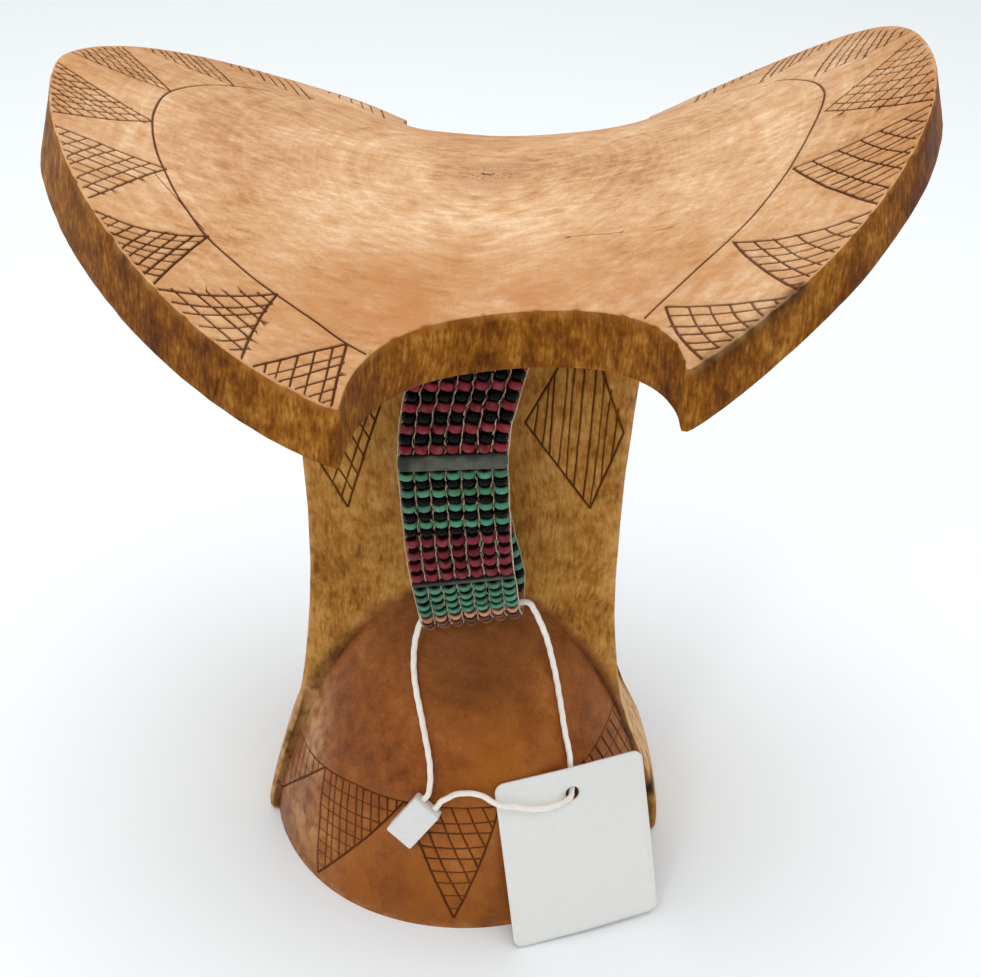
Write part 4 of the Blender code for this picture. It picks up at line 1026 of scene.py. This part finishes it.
def paint_wood(mesh):
    """Per point: how much it is seat top, dome and cut, and its share of wear and painted highlight, of stain and
    painted shade, and of golden tone with painted light and shade.
    """
    points = np.zeros(len(mesh.vertices) * 3)
    mesh.vertices.foreach_get("co", points)
    points = points.reshape(-1, 3) / MM
    x, y, z = points.T
    under = seat_top(x, y) - z
    in_seat = z > seat_top(x, y) - seat_thick(x) - 1.2
    is_top = in_seat & (under < 1.9)
    rim = tree_of(np.column_stack([seat_ring, seat_top(seat_ring[:, 0], seat_ring[:, 1])]))
    from_rim = gap_to(rim, points)
    flat_gap = gap_to(tree_of(seat_ring), points[:, :2])
    on_wall = in_seat & (flat_gap < 0.35) & (under > 0.25)
    top = np.where(is_top & ~on_wall, 1.0, 0.0) * np.clip(1.15 - under / 2.2, 0.0, 1.0)
    radius = np.hypot((x - DOME_X) / np.where(y > 0, 1.0 - DOME_NARROW * np.clip(y / 20.0, 0.0, 1.0), 1.0), y)
    round_off = np.where(y < 0, dome_bulge(np.degrees(np.arctan2(x - DOME_X, -y)), z),
                         back_bulge(np.degrees(np.arctan2((x - DOME_X) / (1.0 - DOME_NARROW), y)), z))
    is_dome = (np.abs(radius - dome_radius(z) - round_off) < 1.7) & ((y < STEM_FRONT + 0.4) | (y > STEM_BACK - 0.4)) & (z < 97.0) & ~in_seat
    is_stem_front = (np.abs(y - STEM_FRONT) < 1.6) & ~in_seat & ~is_dome
    cut = np.zeros(len(points))
    pick = np.nonzero(is_top)[0]
    cut[pick] = cut_depth(points[pick][:, :2], seat_cuts)[1]
    pick = np.nonzero(is_stem_front)[0]
    cut[pick] = cut_depth(points[pick][:, [0, 2]], stem_cuts)[1]
    for back, cuts in ((False, front_cuts), (True, back_cuts)):
        pick = np.nonzero(is_dome & ((y > 0) == back))[0]
        side = -1.0 if back else 1.0
        angle = np.degrees(np.arctan2(side * (x[pick] - DOME_X) / (1.0 - DOME_NARROW * (1.0 if back else 0.0)), -side * y[pick]))
        cut[pick] = cut_depth(dome_flat(angle, z[pick]), cuts)[1]
    cut *= np.where(in_seat, np.clip((from_rim - 0.15) / 0.7, 0.25, 1.0), 1.0) * np.where(on_wall, 0.0, 1.0)
    # light chipped edges: round the seat, and up the stem
    pick = np.nonzero(from_rim < 2.0)[0]
    worn = np.zeros(len(points))
    worn[pick] = 0.8 * np.exp(-(from_rim[pick] / 0.5) ** 2) * np.clip(0.30 + 1.3 * waves(points[pick], (0.35, 0.35, 0.35), 61.0), 0.0, 1.0)
    levels = np.arange(0.0, 190.0, 1.0)
    stem_l, stem_r = np.interp(levels, side_z, side_l), np.interp(levels, side_z, side_r)
    posts = np.concatenate([np.column_stack([s, np.full(len(levels), STEM_FRONT), levels]) for s in (stem_l, stem_r)])
    worn = np.maximum(worn, 0.45 * np.exp(-(gap_to(tree_of(posts), points) / 1.2) ** 2) * np.clip((z - 60.0) / 30.0, 0.0, 1.0))
    # painted light: the stem's right side face is made paler where light falls on it, along with its wear
    right_face = (x > np.interp(z, side_z, side_r) - 2.6) & (y > STEM_FRONT + 1.2) & ~is_dome & ~in_seat
    worn = np.maximum(worn, np.where(right_face, 1.5 * np.clip((96.0 - z) / 30.0, 0.0, 1.0) * np.clip((z - 6.0) / 16.0, 0.25, 1.0), 0.0))
    left_face = (x < np.interp(z, side_z, side_l) + 1.5) & ~is_dome & ~in_seat
    worn = np.maximum(worn, np.where(left_face, 0.8 * np.clip((70.0 - z) / 30.0, 0.0, 1.0), 0.0))
    # painted shade, with some real stain, along the join of dome and stem, stronger towards the feet, and painted shade
    # under the seat; real burnt marks on the rim
    levels = levels[levels < 97.0]
    spread = np.sqrt(np.maximum(dome_radius(levels) ** 2 - STEM_FRONT ** 2, 0.0))
    joint = []
    for side, edge in ((-1.0, stem_l[:len(levels)]), (1.0, stem_r[:len(levels)])):
        beyond = spread > side * (edge - DOME_X)
        back_to = -np.sqrt(np.maximum(dome_radius(levels) ** 2 - (edge - DOME_X) ** 2, 0.0))
        joint.append(np.column_stack([np.where(beyond, edge, DOME_X + side * spread), np.where(beyond, back_to, STEM_FRONT), levels]))
    gap = gap_to(tree_of(np.concatenate(joint)), points)
    deep = np.clip((92.0 - z) / 24.0, 0.35, 1.0) * (z < 97.0)
    stain = deep * np.where(is_dome, 0.9 * np.exp(-(gap / 1.0) ** 2), np.where((x < 0) & (z < 66.0), 1.0 * np.exp(-(gap / 2.6) ** 2), 1.1 * np.exp(-(gap / 2.1) ** 2))) * ~in_seat
    worn = np.maximum(worn, np.where(is_dome & (z < 1.6), 0.25, 0.0))
    # painted shade under the seat, where it meets the stem
    stain = np.maximum(stain, 0.5 * np.exp(-np.abs(z - seat_top(x, y) + seat_thick(x)) / 7.0) * ~in_seat)
    burnt = np.array([q for q in even(seat_ring, 0.8) if q[1] < -60.0 and 46.5 < q[0] < 66.0])
    burnt = np.column_stack([burnt, seat_top(burnt[:, 0], burnt[:, 1]) - 0.8])
    stain = np.maximum(stain, 1.3 * np.exp(-(gap_to(tree_of(burnt), points) / 1.3) ** 2))
    # a burnt spot on the right foot, and a painted highlight on the left cheek of the dome and lower down on its left
    # side
    spot = np.exp(-(np.linalg.norm((points - np.array((58.0, -18.0, 18.5))) / np.array((4.0, 6.0, 3.4)), axis=1)) ** 2)
    stain, worn = np.maximum(stain, 1.8 * spot), worn * np.clip(1.0 - 1.6 * spot, 0.0, 1.0)
    cheek = np.where(is_dome & (y < 0), np.exp(-(np.hypot((x + 43.0) / 5.0, (z - 44.0) / 19.0)) ** 2), 0.0)
    cheek = np.maximum(cheek, np.where(is_dome & (y < 0), 0.8 * np.exp(-(np.hypot((x + 46.0) / 9.0, (z - 14.0) / 9.0)) ** 2), 0.0))
    worn = np.maximum(worn, 0.62 * cheek)
    rim_zone = (in_seat & ~(is_top & ~on_wall)).astype(float)
    # golden tone with painted light and shade: a golden patch and foot band on the dome, partly painted highlight; the
    # seat top darker towards its front slope, partly painted shade, and darker near its rim
    warm = np.where(is_dome & (y < 0), 0.85 * np.exp(-(np.hypot((x - 13.0) / 19.0, (z - 47.0) / 20.0)) ** 2)
                    + 0.95 * np.exp(-((z - 8.0) / 15.0) ** 2) * np.clip((x + 46.0) / 24.0, 0.0, 1.0), 0.0)
    warm = np.maximum(warm, np.where(is_top, 0.85 * np.clip((-y - 22.0) / 30.0, 0.0, 1.0) * np.clip(1.5 - np.abs(x - 6.0) / 50.0, 0.0, 1.0), 0.0))
    # painted shade on the dome's top under the seat, and a painted shadow on the dome under the strap
    stain = np.maximum(stain, np.where(is_dome, 0.42 * np.clip((z - 62.0) / 26.0, 0.0, 1.0), 0.0))
    stain = np.maximum(stain, np.where(is_dome & (y < 0), 0.55 * np.exp(-(np.hypot((x - 3.0) / 17.0, (z - 76.0) / 13.0)) ** 2), 0.0))
    warm = np.maximum(warm, np.where(is_top, 0.50 * np.clip(1.2 - flat_gap / 16.0, 0.0, 1.0), 0.0))
    rosy = np.where(is_top, 0.55 * np.exp(-(np.hypot((x + 58.0) / 13.0, (y + 6.0) / 24.0)) ** 2), 0.0)
    for name, value in (("top", top), ("rim", rim_zone), ("dome", is_dome.astype(float)), ("cut", cut), ("worn", worn), ("stain", stain),
                        ("warm", warm), ("rosy", rosy)):
        mesh.attributes.new(name, "FLOAT", "POINT").data.foreach_set("value", np.ascontiguousarray(value, dtype=float))


wood_mesh = join_wood()
paint_wood(wood_mesh)
wood = show("wood", wood_mesh, WOOD, "stool", ("carved_body",), 34.0)

# ---------------------------------------------------------------- beaded strap
strap_line = Route(STRAP_LINE)


def strap_frame(s):
    """Middle of the strap at s, the way along it, of its rows and out of its face."""
    here, ahead, behind = strap_line(s), strap_line(s + 0.5), strap_line(s - 0.5)
    along = (Vector(ahead[:3]) - Vector(behind[:3])).normalized()
    tilt = math.radians(here[3])
    across = Vector((math.cos(tilt), 0.0, math.sin(tilt)))
    out = along.cross(across).normalized()
    return Vector(here[:3]), along, across, out


COLUMNS, PITCH, CORE_R = 7, 3.8, 1.15


def bead(solid, mid, along, across, out, radius, half, tone, vary):
    """A glass bead with a hole, its hole along the strap."""
    hole, around, steps = 0.5, 14, 10
    middle, wide = 0.5 * (radius + hole), 0.5 * (radius - hole)
    rings = []
    for k in range(steps):
        a = 2.0 * math.pi * k / steps
        c, s = math.cos(a), math.sin(a)
        r = middle + wide * math.copysign(abs(c) ** 0.78, c)
        d = half * math.copysign(abs(s) ** 0.66, s)
        # painted shade: the end faces and the hole of each bead are darkened
        end_shade = 0.95 * min(1.0, max(0.0, (abs(s) - 0.45) / 0.3)) * min(1.0, max(0.0, (0.75 - c) / 0.5))
        end_shade = max(end_shade, 0.95 if c < -0.5 else 0.0)
        rings.append(solid.add([tuple(mid + along * d + across * (r * math.cos(t)) + out * (r * math.sin(t)))
                                for t in (2.0 * math.pi * i / around for i in range(around))], tone=tone, vary=max(vary, end_shade)))
    for a, b in zip(rings, rings[1:] + rings[:1]):
        solid.bridge(a, b)


def spread(s):
    return PITCH * (1.0 + 0.07 * min(1.0, max(0.0, 1.0 - s / 24.0)))


def bead_band(name, start, end, tones, radius, fill, material, node):
    solid = Solid()
    rows = len(tones)
    pitch = (end - start) / rows
    for k, tone in enumerate(tones):
        sag = rng.uniform(-0.12, 0.12)
        for column in range(COLUMNS):
            s = start + (k + 0.5) * pitch + sag + rng.uniform(-0.16, 0.16)
            s = min(max(s, start + 0.5 * pitch * fill), end - 0.5 * pitch * fill)
            mid, along, across, out = strap_frame(s)
            mid = mid + across * ((column - 0.5 * (COLUMNS - 1)) * spread(s) + rng.uniform(-0.12, 0.12)) + out * rng.uniform(-0.06, 0.06)
            lean = rng.uniform(-0.09, 0.09)
            way = (along + across * lean + out * rng.uniform(-0.06, 0.06)).normalized()
            side = (across - way * across.dot(way)).normalized()
            bead(solid, mid, way, side, way.cross(side), radius * rng.uniform(0.95, 1.0), 0.5 * pitch * fill * rng.uniform(0.93, 1.0),
                 tone, 0.45 * rng.random() ** 2)
    # the strings that the beads sit on, painted dark as the shade in the gaps between rows
    for column in range(COLUMNS):
        run, n = [], max(4, int((end - start) / 1.2))
        for k in range(n + 1):
            s = start + 0.5 + (end - start - 1.0) * k / n
            mid, along, across, out = strap_frame(s)
            run.append(mid + across * ((column - 0.5 * (COLUMNS - 1)) * spread(s)))
        sweep(solid, run, CORE_R, 10, tone=0.0, vary=1.0)
    return show(name, solid.mesh(name), material, "strap", (node,), 60.0)


def spacer_bar(name, start, end, node):
    """A folded strip of leather across the strap."""
    solid = Solid()
    mid, along, across, out = strap_frame(0.5 * (start + end))
    thin = end - start < 3.0
    half_l, half_t = 0.5 * (end - start) - (0.5 if thin else 0.55), 0.5 * STRAP_T - (0.85 if thin else 0.35)
    rings = []
    for k in range(41):
        u = -1.0 + 2.0 * k / 40
        shrink = math.sqrt(max(0.0, 1.0 - max(0.0, abs(u) - 0.94) ** 2 / 0.06 ** 2 * 0.75))
        ring, shade = [], []
        for i in range(20):
            a = 2.0 * math.pi * i / 20
            c, s = math.cos(a), math.sin(a)
            p = half_l * shrink * math.copysign(abs(c) ** 0.45, c)
            q = half_t * shrink * math.copysign(abs(s) ** 0.45, s)
            q *= 1.0 + 0.07 * wobble(u * 9.0, p * 0.5, start)
            p *= 1.0 + 0.05 * wobble(u * 7.0, q * 0.5, start + 5.0)
            ring.append(tuple(mid + across * (u * 0.5 * STRAP_W) + along * p + out * q))
            # painted shade along the upper edge of the leather
            shade.append(0.8 * min(1.0, max(0.0, (-p / half_l - 0.45 + 0.9 * wobble(u * 4.0, 2.0, start)) / 0.4)))
        dirt = min(1.0, max(0.0, (-u - 0.72) / 0.10)) * 0.95 if half_l > 2.0 else 0.75 - 0.7 * min(1.0, max(0.0, (u + 0.4) / 0.5))
        rings.append(solid.add(ring, stain=np.maximum(dirt, shade)))
    for a, b in zip(rings, rings[1:]):
        solid.bridge(a, b)
    solid.fill(rings[0], True)
    solid.fill(rings[-1])
    return show(name, solid.mesh(name), SPACER, "strap", (node,), 50.0)


def alternate(count, last):
    return [last if (count - 1 - k) % 2 == 0 else 1.0 - last for k in range(count)]


BANDS = (("strap_red_black_front", 25.6, alternate(10, 1.0), 1.80, 0.90, BEADS_RED_BLACK, "beads_red_black"),
         ("strap_spacer_front", 5.4, None, 0, 0, None, None),
         ("strap_green_black_front", 17.4, alternate(8, 0.0), 1.84, 0.88, BEADS_GREEN_BLACK, "beads_green_black"),
         ("strap_red_front", 14.0, [0.9, 0.6, 0.8, 0.7], 1.80, 0.66, BEADS_RED, "beads_red"),
         ("strap_spacer_low", 2.2, None, 0, 0, None, None),
         ("strap_green_front", 10.2, [1.0, 0.85, 0.9, 0.95], 1.84, 0.66, BEADS_GREEN, "beads_green"),
         ("strap_fold", 15.0, [1.0, 0.15, 0.3, 0.1, 0.9, 0.2], 1.72, 0.86, BEADS_PEACH, "beads_peach_brown"),
         ("strap_green_black_back", 17.4, alternate(8, 1.0), 1.86, 1.0, BEADS_GREEN_BLACK, "beads_green_black"),
         ("strap_red_back", 14.0, [0.7, 0.8, 0.6, 0.9], 1.86, 0.97, BEADS_RED, "beads_red"),
         ("strap_spacer_back", 5.4, None, 0, 0, None, None),
         ("strap_red_black_back", None, None, 1.86, 0.98, BEADS_RED_BLACK, "beads_red_black"))
# how far the rows are pushed over the leather beside them
OVERLAP = {"strap_red_black_front": (0.0, 0.7), "strap_green_black_front": (0.6, 0.0), "strap_red_front": (0.0, 0.6),
           "strap_green_front": (0.6, 0.0), "strap_red_back": (0.0, 0.6), "strap_red_black_back": (0.7, 0.0)}
start, stretches = 0.0, []
for node, length, tones, radius, fill, material, slot in BANDS:
    end = strap_line.length if length is None else start + length
    if material is None:
        spacer_bar(node.replace("strap_", "bar_"), start, end, node)
    else:
        if tones is None:
            tones = alternate(max(4, round((end - start) / 2.6)), 0.0)[::-1]
        over = OVERLAP.get(node, (0.0, 0.0))
        bead_band(node.replace("strap_", "beads_"), start - over[0], end + over[1], tones, radius, fill, material, node)
        stretches.append((start - over[0], end + over[1], len(tones), 0.62 if "red_black" in node else 0.30 if "black" in node else -0.25))
    start = end + GAP

# stringing threads in the grooves between the columns, on both faces
stitching = Solid()
for first, last, rows, height in stretches:
    for gap in range(1, COLUMNS):
        for face in (1.0, -1.0):
            run, n = [], max(4, int((last - first) / 0.5))
            for k in range(n + 1):
                s = first + 0.2 + (last - first - 0.4) * k / n
                mid, along, across, out = strap_frame(s)
                sway = 0.80 * wobble(s * 0.42, gap * 3.1, face)
                lift_up = 0.42 * math.cos(2.0 * math.pi * rows * (s - first) / (last - first))
                run.append(mid + across * ((gap - 0.5 * COLUMNS) * spread(s) + sway)
                           + out * face * (height + lift_up + 0.45 * wobble(s * 0.35, gap * 5.3, face + 4.0)))
            sweep(stitching, run, 0.14, 6)
show("strap_stitching", stitching.mesh("strap_stitching"), THREAD, "strap", (), 60.0)

for node, side in (("strap_thread_left", -1.0), ("strap_thread_right", 1.0)):
    solid, run, count = Solid(), [], 240
    for k in range(count + 1):
        s = strap_line.length * k / count
        mid, along, across, out = strap_frame(s)
        run.append(mid + across * side * (0.5 * STRAP_W * spread(s) / PITCH - 0.02 + 0.26 * wobble(k * 0.13, side, 2.0))
                   + out * (0.3 + 0.2 * wobble(k * 0.17, side * 7.0, 3.0)))
    sweep(solid, run, 0.46 * THREAD_R, 10, 2, 0.28, 1.3)
    show(node.replace("strap_", "edge_"), solid.mesh(node), THREAD, "strap", (node,), 60.0)

for node, material, slot in (("strap_thong", HIDE, "hide"), ("strap_head", HIDE, "hide"),
                             ("staple_left", IRON, "iron_wire"), ("staple_right", IRON, "iron_wire"),
                             ("tag_bullet", PLASTIC, "white_plastic")):
    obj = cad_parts[node]
    obj.data.materials.clear()
    obj.data.materials.append(material)

# ---------------------------------------------------------------- hang tag
yaw, lift, lean = (math.radians(a) for a in (CARD_YAW, CARD_ROLL, CARD_LEAN))
card_right = Vector((math.cos(yaw) * math.cos(lift), math.sin(yaw) * math.cos(lift), math.sin(lift)))
card_up0 = (Vector((0.0, 0.0, 1.0)) - card_right * card_right.z).normalized()
card_out0 = card_right.cross(card_up0)
card_up = card_up0 * math.cos(lean) - card_out0 * math.sin(lean)
card_out = card_right.cross(card_up)


def on_card(a, b, c):
    """Point a, b, c from the middle of the card's hole: right, up and out."""
    return CARD_CORNER + card_right * (HOLE_AT[0] + a) + card_up * (HOLE_AT[1] + b) + card_out * c


def on_dome(x, z, off):
    r = float(dome_radius(z)) + off
    return Vector((x, -math.sqrt(max(r * r - (x - DOME_X) ** 2, 0.0)), z))


def card_solid():
    outline = []
    for cx, cy, first in ((CARD_W - CARD_ROUND, CARD_ROUND, -90), (CARD_W - CARD_ROUND, CARD_H - CARD_ROUND, 0),
                          (CARD_ROUND, CARD_H - CARD_ROUND, 90), (CARD_ROUND, CARD_ROUND, 180)):
        outline += [(cx + CARD_ROUND * math.cos(math.radians(first + 9.0 * k)), cy + CARD_ROUND * math.sin(math.radians(first + 9.0 * k)))
                    for k in range(11)]
    ring = even(outline, 0.8)
    hole = np.array([(HOLE_AT[0] + HOLE_R * math.cos(-2 * math.pi * k / 36), HOLE_AT[1] + HOLE_R * math.sin(-2 * math.pi * k / 36))
                     for k in range(36)])
    coords = [tuple(p) for p in ring] + [tuple(p) for p in hole]
    edges = [(k, (k + 1) % len(ring)) for k in range(len(ring))]
    edges += [(len(ring) + k, len(ring) + (k + 1) % len(hole)) for k in range(len(hole))]
    grid = [(x, y) for x in np.arange(1.5, CARD_W - 0.7, 2.0) for y in np.arange(1.5, CARD_H - 0.7, 2.0)
            if math.hypot(x - HOLE_AT[0], y - HOLE_AT[1]) > HOLE_R + 0.7]
    grid = [p for p in grid if inside(ring, np.array([p]))[0] and np.min(np.linalg.norm(ring - np.array(p), axis=1)) > 0.6]
    found = delaunay_2d_cdt([Vector(p) for p in coords + grid], edges, [], 1, 1e-4)
    flat = np.array([tuple(p) for p in found[0]])
    where = {i: k for k, group in enumerate(found[3]) for i in group}
    faces = [f for f in found[2] if np.linalg.norm(flat[list(f)].mean(0) - np.array(HOLE_AT)) > HOLE_R * 0.97]

    def sheet(points, off):
        found = []
        for a, b in points:
            bow = 0.35 * math.sin(math.pi * b / CARD_H) + 0.25 * (1.0 - math.cos(2.0 * math.pi * a / CARD_W)) - 0.2
            found.append(tuple(CARD_CORNER + card_right * a + card_up * b + card_out * (off + bow)))
        return found

    solid = Solid()
    half, soft = 0.5 * CARD_T, 0.09
    front, back = solid.add(sheet(flat, half)), solid.add(sheet(flat, -half))
    solid.tris(front, faces)
    solid.tris(back, faces, True)
    for first, loop, grow in ((0, ring, 1.0), (len(ring), hole, -1.0)):
        ids = [where[first + k] for k in range(len(loop))]
        normal = outward(loop if grow > 0 else loop[::-1])
        normal = normal if grow > 0 else -normal[::-1]
        a = solid.add(sheet(loop + normal * soft, half - soft))
        b = solid.add(sheet(loop + normal * soft, soft - half))
        solid.bridge(front[ids], a)
        solid.bridge(a, b)
        solid.bridge(b, back[ids])
    return solid.mesh("tag_card_sheet")


card = show("card", card_solid(), CARDSTOCK, "tag", ("tag_card",), 50.0)

# moulded lock, lying on the dome
seal_mid = on_dome(SEAL_AT[0], SEAL_AT[1], 0.5 * SEAL_T + 0.6)
radial = Vector((seal_mid.x - DOME_X, seal_mid.y, 0.0)).normalized()
drop = float(dome_radius(SEAL_AT[1] - 1.0) - dome_radius(SEAL_AT[1] + 1.0))
seal_out = (radial + Vector((0.0, 0.0, 0.5 * drop))).normalized()
seal_long = (SEAL_UP - seal_out * SEAL_UP.dot(seal_out)).normalized()
seal_side = seal_long.cross(seal_out).normalized()
END_1, END_2 = -2.1, 1.9
seal_end = seal_mid + seal_long * 0.5 * SEAL_L


def seal_mesh():
    bm = bmesh.new()
    bmesh.ops.create_cube(bm, size=1.0)
    for v in bm.verts:
        v.co = Vector((v.co.x * SEAL_L, v.co.y * SEAL_W, v.co.z * SEAL_T))
    bmesh.ops.bevel(bm, geom=bm.edges[:], offset=0.55, segments=4, profile=0.5, affect="EDGES")
    bm.faces.ensure_lookup_table()
    for sign in (1.0, -1.0):
        face = max((f for f in bm.faces), key=lambda f: f.calc_area() * (1.0 if f.normal.z * sign > 0.9 else 0.0))
        bmesh.ops.inset_region(bm, faces=[face], thickness=0.35, depth=0.0)
        bmesh.ops.inset_region(bm, faces=[face], thickness=0.12, depth=-0.12)
    for v in bm.verts:
        p = v.co.copy()
        v.co = (seal_mid + seal_long * p.x + seal_side * p.y + seal_out * p.z) * MM
    bmesh.ops.recalc_face_normals(bm, faces=bm.faces)
    mesh = bpy.data.meshes.new("tag_seal_block")
    bm.to_mesh(mesh)
    bm.free()
    return mesh


seal = show("seal", seal_mesh(), PLASTIC, "tag", ("tag_seal",), 35.0)

# string: both ends in the lock, up through the fold of the strap and down through the card
CORD_OFF = CORD_R + 0.55


def fold_line(x):
    return Vector((x, -31.8, FOLD_AT.z + FOLD_TILT * (x - FOLD_AT.x)))


end_1, end_2 = seal_end + seal_side * END_1, seal_end + seal_side * END_2
mid_1 = fold_line(-9.6) + Vector((FOLD_TILT, 0.0, -1.0)).normalized() * 2.0
mid_2 = fold_line(15.2) + Vector((FOLD_TILT, 0.0, -1.0)).normalized() * 2.6


def bend(mid, arc, first, last, n):
    return [mid + Vector((arc * math.cos(math.radians(first + (last - first) * k / n)), 0.0,
                          arc * math.sin(math.radians(first + (last - first) * k / n)))) for k in range(n + 1)]


route = [end_1 + seal_long * GAP, end_1 + seal_long * 2.4, on_dome(-7.0, 47.6, CORD_OFF + 0.8)]
route += [on_dome(x, z, CORD_OFF) for x, z in ((-7.2, 51.4), (-7.9, 55.4), (-9.0, 59.8), (-10.2, 64.4),
                                               (-11.9, 70.0), (-13.0, 75.2))]
route += [Vector((-13.0, -33.0, 81.4)), Vector((-12.2, -32.4, 86.6))] + bend(mid_1, 2.0, 180.0, 104.0, 4)
route += [fold_line(x) for x in (-5.0, 0.0, 5.0, 10.0)] + bend(mid_2, 2.6, 104.0, 30.0, 4)
route += [Vector((20.4, -31.2, 91.0)), Vector((22.6, -30.6, 84.6)), Vector((24.4, -30.6, 77.6))]
route += [on_dome(x, z, CORD_OFF) for x, z in ((26.0, 71.0), (27.8, 63.6), (29.4, 56.4), (30.8, 51.4))]
route += [on_card(a, b, c) for a, b, c in (
    (1.0, 6.0, -1.7), (0.95, 3.6, -1.7), (0.75, 1.7, -1.35), (0.3, 0.4, -0.55), (-0.25, -0.3, 0.55),
    (-1.2, -0.9, 1.4), (-3.0, -1.4, 1.9), (-6.0, -1.9, 1.85), (-9.5, -1.9, 1.8), (-13.5, -0.8, 1.8),
    (-17.5, 0.9, 1.8), (-21.6, 2.4, 1.8))]
route += [on_dome(x, z, CORD_OFF) for x, z in ((7.2, 45.0), (3.8, 45.6))]
route += [on_dome(0.4, 45.7, CORD_OFF + 0.5)]
route += [end_2 + seal_long * 3.9, end_2 + seal_long * 2.0, end_2 + seal_long * GAP]
cord_line = Route([tuple(p) for p in route], steps=24, soften=60)
count = 480
cord_path = [Vector(cord_line(cord_line.length * k / count)) for k in range(count + 1)]
string = Solid()
sweep(string, cord_path, CORD_R, 18, 3, 0.13, 4.2)
cord = show("string", string.mesh("tag_string"), STRING, "tag", ("tag_cord",), 60.0)

# ---------------------------------------------------------------- floor, light and view
floor_mesh = bpy.data.meshes.new("floor")
floor_mesh.from_pydata([(-6.0, -6.0, 0.0), (6.0, -6.0, 0.0), (6.0, 6.0, 0.0), (-6.0, 6.0, 0.0)], [], [(0, 1, 2, 3)])
floor = bpy.data.objects.new("floor", floor_mesh)
SCENE.collection.objects.link(floor)
paper = Look("floor_paper")
paper.set(Base_Color=srgb(245, 250, 252), Roughness=0.85, Specular_IOR_Level=0.2)
floor_mesh.materials.append(paper.mat)

# even white room, brighter overhead
world = bpy.data.worlds.new("studio")
world.use_nodes = True
SCENE.world = world
sky = world.node_tree
way = sky.nodes.new("ShaderNodeTexCoord")
split = sky.nodes.new("ShaderNodeSeparateXYZ")
sky.links.new(way.outputs["Generated"], split.inputs[0])
band = sky.nodes.new("ShaderNodeValToRGB")
sky.links.new(split.outputs["Z"], band.inputs["Fac"])
band.color_ramp.elements[0].position, band.color_ramp.elements[0].color = 0.0, (0.52, 0.535, 0.55, 1.0)
band.color_ramp.elements[1].position, band.color_ramp.elements[1].color = 1.0, (1.0, 1.0, 1.0, 1.0)
sky.links.new(band.outputs["Color"], sky.nodes["Background"].inputs["Color"])
sky.nodes["Background"].inputs["Strength"].default_value = 0.90


def softbox(name, at, target, wide, high, power, colour=(1.0, 1.0, 1.0)):
    lamp = bpy.data.lights.new(name, "AREA")
    lamp.shape, lamp.size, lamp.size_y, lamp.energy, lamp.color = "RECTANGLE", wide, high, power, colour
    obj = bpy.data.objects.new(name, lamp)
    SCENE.collection.objects.link(obj)
    obj.location = at
    obj.rotation_mode = "QUATERNION"
    obj.rotation_quaternion = (Vector(target) - Vector(at)).to_track_quat("-Z", "Y")
    return obj


lamps = [softbox("top_box", (-0.02, -0.04, 1.20), (0.0, -0.02, 0.1), 0.95, 0.85, 6.3),
         softbox("left_fill", (-0.5, -0.95, 1.0), (0.0, 0.0, 0.08), 0.22, 0.20, 1.5)]
SCENE.view_settings.view_transform = "Standard"
SCENE.view_settings.look = "None"
SCENE.view_settings.exposure = 0.0
